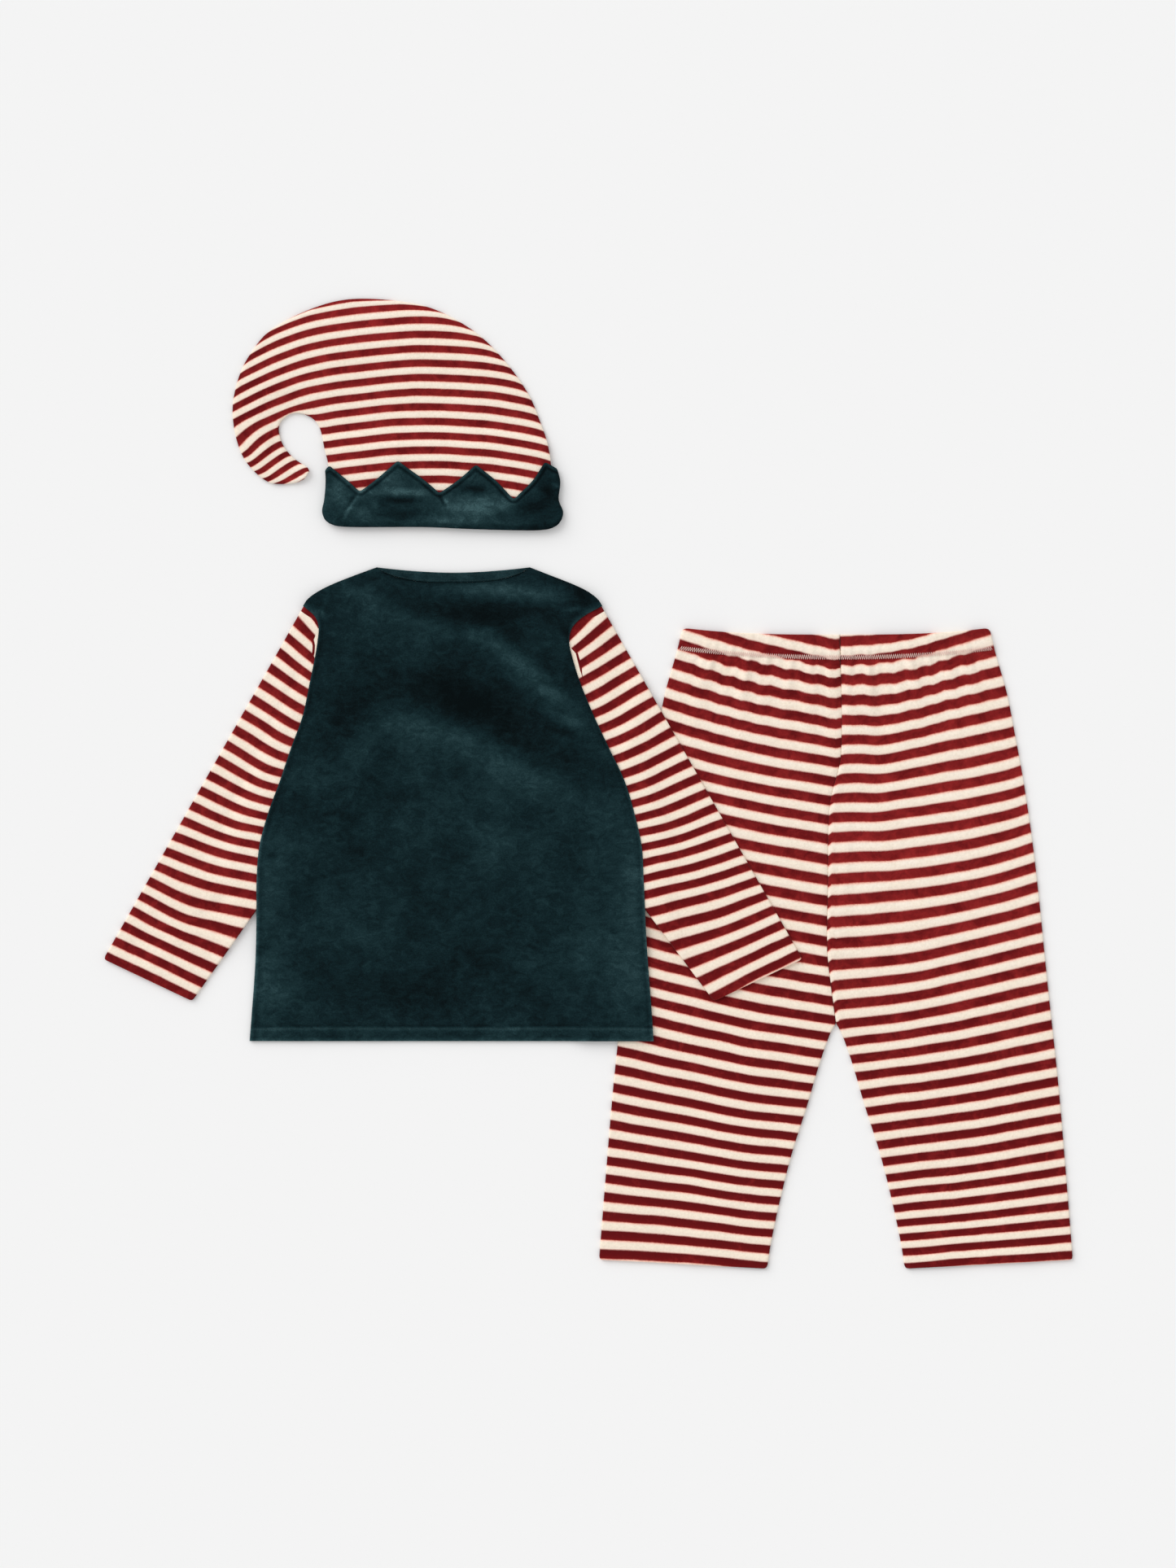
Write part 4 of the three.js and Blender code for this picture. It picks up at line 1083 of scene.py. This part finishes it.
def sleeve(side):
    """A flat tube from its cuff to its end, which is tucked between the tunic's panels."""
    sizes = SLEEVES[side]
    end_x, end_y = np.array(sizes["end"]).T
    length = math.dist(sizes["shoulder"], sizes["cuff_outer"])
    along = stations(length)
    from_left = side == "left"
    cuff_width = math.dist(sizes["cuff_outer"], sizes["cuff_inner"])
    cuff_share = corner_cut(length * (1 - along), HEM_CORNER) / cuff_width

    def place(share):
        from_fold = mix(cuff_share, 1 - cuff_share, 1 - np.asarray(share))
        x, y = (np.interp(from_fold, SLEEVE_END_AT, values) for values in (end_x, end_y))
        cuff = [mix(a, b, from_fold) for a, b in zip(sizes["cuff_outer"], sizes["cuff_inner"])]
        return mix(x, cuff[0], along), mix(y, cuff[1], along)

    outer, inner, share, is_upper = flat_tube(place, np.full_like(along, CLOTH), SLEEVE_COLUMNS)
    on_front, on_trousers = lift_over(body_outline, OVER_FRONT + SEAM, UNDERARM_MARGIN), over_trousers(1)
    for grid in (outer, inner):
        grid[..., 2] += on_front(grid[..., 0], grid[..., 1]) + on_trousers(grid[..., 0], grid[..., 1])

    x, y = outer[..., 0], outer[..., 1]
    shoulder, cuff = np.array(sizes["shoulder"]), np.array(sizes["cuff_outer"])
    ahead = (cuff - shoulder) / length
    across = np.array([ahead[1], -ahead[0]]) * (-1 if from_left else 1)
    run = (x - shoulder[0]) * ahead[0] + (y - shoulder[1]) * ahead[1]
    off = (x - shoulder[0]) * across[0] + (y - shoulder[1]) * across[1]
    seed = 3 if from_left else 5
    from_cuff = (1 - along)[:, None] * length + 0 * x
    free = 1 - smooth(-outside(body_outline, x, y), -6, 2)
    calm = np.minimum(smooth(share, 0.02, 0.2), smooth(1 - share, 0.02, 0.2)) * is_upper * free
    line = ARMHOLE_CREASES[side]
    crease_x = np.interp(y, line["up"][::-1], line["x"][::-1])
    past = (x - crease_x) * (1 if from_left else -1)
    within = np.minimum(line["up"][0] - y, y - line["up"][-1])
    crease = -0.6 * bell(past, 1.5) * smooth(within, 0, 8)
    folds = strokes(SLEEVE_FOLDS[side], run, off)
    uneven = mottles(run, off, (0.3, 32, seed), (0.14, 12, seed + 1))
    hem_fold = turned_hem(from_cuff, LEG_HEM, step=0.3, groove=0.35)
    rise = (folds + uneven) * calm + crease * is_upper * free + hem_fold * is_upper
    outer[..., 2] += rise
    inner[..., 2] += rise

    rim = rounded(np.minimum(along, 1 - along)[:, None] * length + 0 * x)
    rim[[0, -1]] = 0
    drift = mottles(run, off, (0.5, 26, seed + 2), (0.2, 10, seed + 3))
    number = stripe_number(SLEEVE_STRIPES[side], STRIPES_FROM_FOLD, off, run + drift)
    in_crease = np.clip(within / 12, 0, 1)
    seam_stripe = SHOULDER_STRIPES[side]
    wide = smooth(y, seam_stripe["wide_from"] - 12, seam_stripe["wide_from"] + 8)
    shown = mix(seam_stripe["narrow"], seam_stripe["width"], wide)
    on_seam = np.minimum(shown - outside(body_outline, x, y), y - seam_stripe["end"])
    on_seam = np.clip(0.5 + on_seam / 5, 0, 1)
    # Painted sheen and shade: the left sleeve lighter than the right, both darker towards the cuff, with
    # random tone
    nap = (0.22 if from_left else 0.08) - 0.1 * smooth(run, 200, 400) + 0.1 * mottle(run, off, 24, seed + 4)
    marks = dict(stripe=number, past_crease=past / CREASE_REACH, crease=in_crease, seam_stripe=on_seam)
    piece = shell(f"{side}_sleeve", outer, inner, rim, TUNIC_AT, VELOUR, 0, nap=nap, **marks)
    finish_cloth(piece)


def make_tunic():
    on_trousers, back_on_trousers = over_trousers(0), over_trousers(2)
    on_sleeves = [lift_over(outline, TUBE_HEIGHT + SEAM, DRAPE_MARGIN) for outline in sleeve_outlines]

    def under_back(x, y):
        loft = BODY_LOFT * smooth(-outside(body_outline, x, y), 0, BODY_ROUNDING)
        sleeves = np.maximum(on_sleeves[0](x, y), on_sleeves[1](x, y))
        return OVER_FRONT + back_on_trousers(x, y) + loft + sleeves

    def back_folds(x, y):
        uneven = mottles(x, y, (0.28, 46, 71), (0.14, 17, 72))
        return np.maximum(strokes(BACK_FOLDS, x, y) + uneven, -0.6)

    # The back's painted sheen and shade: a level, the strokes, and random tone
    def back_nap(x, y):
        return 0.42 + PAINTED_SHEEN_DEPTH * strokes(BACK_PAINTED_SHEEN, x, y) + 0.07 * mottle(x, y, 40, 73)

    def front_folds(x, y):
        return 0.15 + 0.15 * mottle(x, y, 60, 74)

    # The front's painted sheen: an even level with random tone
    def front_nap(x, y):
        return 0.4 + 0.1 * mottle(x, y, 40, 75)

    hem = body_panel("back_panel", NECK["back_seam"], under_back, back_folds, back_nap, STEP)
    body_panel("front_panel", NECK["front_seam"], on_trousers, front_folds, front_nap, 2 * STEP)
    bindings = neck_binding(
        "back_neck_binding", NECK["back_seam"], NECK["back_edge"], under_back, BINDING_CLOTH,
    )
    neck_binding("front_neck_binding", NECK["front_seam"], NECK["front_edge"], on_trousers, CLOTH)
    for side in SLEEVES:
        sleeve(side)
    lines = running_stitches(hem, pitch=2.9, length=2.2, rise=0.2)
    for line in bindings:
        lines += running_stitches(line, pitch=2.7, length=2.0, rise=0.2)
    threads("velvet_thread", lines, VELVET_THREAD_RADIUS, TUNIC_AT, GREEN_THREAD)


# Hat
crown_outline = [
    *zip(CROWN["outer_x"], CROWN["outer_y"]), *zip(CROWN["inner_x"][::-1], CROWN["inner_y"][::-1]),
]
on_band = lift_over(BAND_OUTLINE, BAND_CLOTH + SEAM, DRAPE_MARGIN)


def under_crown_top(x, y):
    share = np.clip(-outside(crown_outline, x, y) / CROWN_ROUNDING, 0, 1)
    return on_band(x, y) + CLOTH + SEAM + CROWN_LOFT * (1 - (1 - share) ** 2)


def hat_stripe(x, y):
    """The crown's stripes bend down on both sides, and run more steeply in the tip."""
    drop = through(HAT_STRIPE_DROP, "x", "drop")(x)
    in_tip = smooth(-x, 132, 140) * (1 - smooth(y, 72, 112))
    drop += -0.33 * (x + 172.2) * in_tip + strokes(HAT_STRIPE_DIPS, x, y)
    upwards = outside(crown_outline, x, y + 0.5) - outside(crown_outline, x, y - 0.5)
    drop += EDGE_ROLL * np.exp(outside(crown_outline, x, y) / EDGE_ROLL) * upwards
    return HAT_STRIPE_NUMBER + (HAT_STRIPE_AT - y - drop) / HAT_STRIPE


CROWN_FOLDS = (
    (0.7, 16, (60, 80), (20, 150), (-40, 200)), (-0.6, 14, (-20, 80), (-60, 140), (-120, 190)),
    (0.6, 12, (-110, 110), (-150, 140), (-190, 150)), (-0.7, 8, (-134, 124), (-150, 132), (-168, 124)),
    (0.5, 7, (-176, 100), (-186, 80)), (-0.5, 6, (-170, 88), (-178, 66)), (0.5, 14, (90, 80), (70, 130)),
)


def crown_half(name, under, folds, step):
    """Half of the curled crown, row by row from the band to the tip."""
    number = np.arange(len(CROWN["outer_x"]), dtype=float)
    sections = dict(CROWN, number=number)
    at = np.linspace(0, number[-1], 1000)
    curves = {key: through(sections, "number", key)(at) for key in CROWN}
    middle = [(curves[f"outer_{k}"] + curves[f"inner_{k}"]) / 2 for k in "xy"]
    run = run_along(np.stack(middle, -1))
    # Sections lie about evenly along the middle of the curl
    rows = np.interp(stations(run[-1], step * 0.8) * run[-1], run, at)
    sized = {key: through(sections, "number", key)(rows)[:, None] for key in CROWN}
    share = stations(CROWN_ACROSS, step)[None]
    x = mix(sized["outer_x"], sized["inner_x"], share)
    y = mix(sized["outer_y"], sized["inner_y"], share)
    width = np.hypot(sized["outer_x"] - sized["inner_x"], sized["outer_y"] - sized["inner_y"])
    beside = np.minimum(share, 1 - share) * width
    to_base = np.interp(rows, at, run)[:, None] + 0 * x
    to_end = np.minimum(run[-1] - to_base, to_base)
    seam_roll = 0.35 * bell(beside - 4, 2.5)
    low = under(x, y) + folds(x, y) * smooth(beside, 0, 14) + seam_roll
    inner = np.stack([x, y, low], -1)
    outer = np.stack([x, y, low + CLOTH], -1)
    rim = sealed(np.minimum(rounded(beside, CROWN_ROUND), rounded(to_end)))
    stripe = hat_stripe(x, y) + mottles(x, y, (0.35, 28, 81), (0.12, 10, 82)) / HAT_STRIPE
    # Painted sheen and shade: lighter towards the top of the curl, darker in the tip, and painted shade
    # along the crown's edges
    nap = 0.36 + 0.16 * smooth(y, 150, 225) - 0.2 * smooth(-x, 150, 200) + 0.1 * mottle(x, y, 24, 83)
    nap -= 0.12 * bell(beside, 5)
    piece = shell(name, outer, inner, rim, HAT_AT, VELOUR, stripe=stripe, nap=nap)
    finish_cloth(piece)


# Folds of the band: rise, width, and a line of points
BAND_FOLDS = (
    (0.9, 3.5, (-88, 34), (-58, 36), (-12, 34)), (-1.0, 3, (-55, 28), (-36, 26)),
    (-0.8, 3, (-88, 34), (-94, 22), (-99, 13)), (0.6, 3, (-83, 30), (-92, 16)),
    (-0.7, 3, (-5, 33), (2, 22)), (0.7, 7, (-10, 22), (60, 20)), (-0.9, 4, (18, 42), (40, 40)),
    (0.8, 3, (-122, 7), (-105, 1)), (-0.6, 5, (70, 20), (100, 26)), (0.6, 5, (76, 36), (104, 34)),
    (-0.6, 4, (96, 10), (112, 20)), (0.6, 8, (-80, 10), (60, 7)),
)
# Painted sheen and shade of the band, where its nap and folds catch or lose the light: shade, width, and a
# line of points
BAND_PAINTED_SHEEN = (
    (0.24, 4.5, (-88, 36), (-58, 36), (-12, 34)), (-0.3, 4, (-66, 29), (-46, 27), (-24, 27)),
    (0.26, 10, (-6, 20), (40, 22), (70, 22)), (-0.34, 4, (16, 39), (46, 38)),
    (0.16, 8, (-110, 50), (-104, 20)), (-0.24, 7, (80, 18), (112, 24)),
    (0.26, 1.8, (-85, 36), (-94, 24), (-103, 6)), (-0.26, 2, (-90, 34), (-97, 22)),
    (-0.3, 1.8, (-4, 33), (2, 21)), (0.24, 2, (-1, 33), (5, 22)), (0.2, 2, (112, 44), (122, 40)),
    (0.18, 4, (76, 42), (96, 50)), (-0.2, 7, (-70, 12), (-20, 10)), (0.2, 3, (-122, 7), (-105, 1)),
    (0.12, 9, (-60, 56), (-50, 44)), (-0.2, 5, (100, 44), (112, 30)), (0.18, 6, (-80, 4), (40, 4)),
)
BAND_SEAM = 4.2


def rounded_points():
    """The band's pointed edge, with its tips and notches a little rounded."""
    across = np.linspace(0, 1, 961)
    up = np.interp(across, BAND_POINTS["across"], BAND_POINTS["up"])
    reach = 8
    padded = np.pad(up, reach, mode="edge")
    return across, np.convolve(padded, np.full(2 * reach + 1, 1 / (2 * reach + 1)), "valid")


def make_band():
    left_edge, right_edge = through(BAND_SIDES, "up", "left"), through(BAND_SIDES, "up", "right")
    hem = through(BAND_HEM, "across", "up")
    points_across, points_up = rounded_points()
    along = stations(BAND_ACROSS, step=1.7, edge=BAND_ROUND)

    def place(share):
        share = np.asarray(share)
        y = mix(hem(np.clip(share, 0, 1)), np.interp(share, points_across, points_up), along)
        return mix(-left_edge(y), right_edge(y), share), y

    def space(share):
        x, y = place(share)
        return under_crown_top(x, y) + CLOTH + 2 * SEAM - BAND_CLOTH

    outer, inner, share, is_upper = flat_tube(place, np.full_like(along, BAND_CLOTH), BAND_COLUMNS, space)
    x, y = outer[..., 0], outer[..., 1]
    sparse = zip(points_across[::6], points_up[::6])
    edge = [(mix(-left_edge(up), right_edge(up), part), up) for part, up in sparse]
    from_points, _ = along_line(edge, x, y)
    from_hem = along[:, None] * (np.interp(share, points_across, points_up) - hem(np.clip(share, 0, 1)))
    seam = -0.9 * bell(from_points - BAND_SEAM, 1.0) + 0.5 * bell(from_points - 2, 1.4)
    roll = 0.8 * bell(from_hem - 7, 5) - 1.0 * (1 - smooth(from_hem, 0, 5))
    folds = strokes(BAND_FOLDS, x, y) * smooth(from_points, 4, 9)
    uneven = mottles(x, y, (0.3, 16, 91), (0.15, 7, 92))
    calm = np.minimum(smooth(share, 0.0, 0.03), smooth(1 - share, 0.0, 0.03))
    rise = np.minimum((seam + roll + (folds + uneven)) * is_upper * calm, 1.2)
    outer[..., 2] += rise
    inner[..., 2] += np.maximum(rise, -0.1)
    rim = rounded(np.minimum(along, 1 - along)[:, None] * BAND_ACROSS + 0 * x, BAND_ROUND)
    rim[[0, -1]] = 0
    # Painted sheen and shade: the strokes, painted shade in the seam's groove and at the fold of the hem, a
    # painted highlight along the pointed edge, and darker towards the right
    shade = 0.56 + PAINTED_SHEEN_DEPTH * strokes(BAND_PAINTED_SHEEN, x, y) + 0.1 * mottle(x, y, 12, 93)
    shade -= 0.34 * bell(from_points - BAND_SEAM, 1.3)
    shade += 0.12 * bell(from_points - 1.4, 1.4) - 0.2 * (1 - smooth(from_hem, 1, 8))
    shade -= 0.16 * smooth(x, 60, 100)
    piece = shell("pointed_band", outer, inner, rim, HAT_AT, VELVET, 0, nap=shade)
    finish_cloth(piece)


def make_hat():
    def top_folds(x, y):
        return strokes(CROWN_FOLDS, x, y) + mottles(x, y, (0.3, 34, 84), (0.14, 13, 85))

    def no_folds(x, y):
        return 0 * x

    crown_half("crown_top", under_crown_top, top_folds, STEP)
    crown_half("crown_under", on_band, no_folds, 2 * STEP)
    make_band()


# Setting, in metres
FLOOR_SIZE = 40
FLOOR_DROP = 0.0003
PHOTO_HEIGHT = 1.6187
LENS = 85
SENSOR = 36
VIEW_DEPTH = 60
KEY_TILT = math.radians(57)
KEY_TURN = math.radians(135)
KEY_ANGLE = math.radians(48)
AMBIENT = 0.73
KEY_SHARE = 0.27


def make_floor():
    bpy.ops.mesh.primitive_plane_add(size=FLOOR_SIZE, location=(0, 0, -FLOOR_DROP))
    floor = bpy.context.object
    floor.name = "floor"
    material = bpy.data.materials.new("floor")
    material.use_nodes = True
    shader = material.node_tree.nodes["Principled BSDF"]
    shader.inputs["Base Color"].default_value = linear(FLOOR)
    shader.inputs["Roughness"].default_value = FLOOR_ROUGHNESS
    shader.inputs["Specular IOR Level"].default_value = FLOOR_SPECULAR
    floor.data.materials.append(material)


def make_camera():
    camera = bpy.data.objects.new("camera", bpy.data.cameras.new("camera"))
    camera.data.lens, camera.data.sensor_width = LENS, SENSOR
    camera.data.clip_end = VIEW_DEPTH
    camera.location = (0, 0, PHOTO_HEIGHT * LENS / SENSOR)
    bpy.context.scene.collection.objects.link(camera)
    bpy.context.scene.camera = camera


def make_lights():
    key = bpy.data.objects.new("key_light", bpy.data.lights.new("key_light", "SUN"))
    key.data.energy = KEY_SHARE * math.pi / math.cos(KEY_TILT)
    key.data.angle = KEY_ANGLE
    key.rotation_euler = (KEY_TILT, 0, KEY_TURN + math.pi / 2)
    bpy.context.scene.collection.objects.link(key)
    world = bpy.data.worlds.new("studio")
    world.use_nodes = True
    world.node_tree.nodes["Background"].inputs["Color"].default_value = (1, 1, 1, 1)
    world.node_tree.nodes["Background"].inputs["Strength"].default_value = AMBIENT
    bpy.context.scene.world = world
    bpy.context.scene.view_settings.view_transform = "Standard"


make_camera()
make_lights()
make_floor()
make_trousers()
make_tunic()
make_hat()
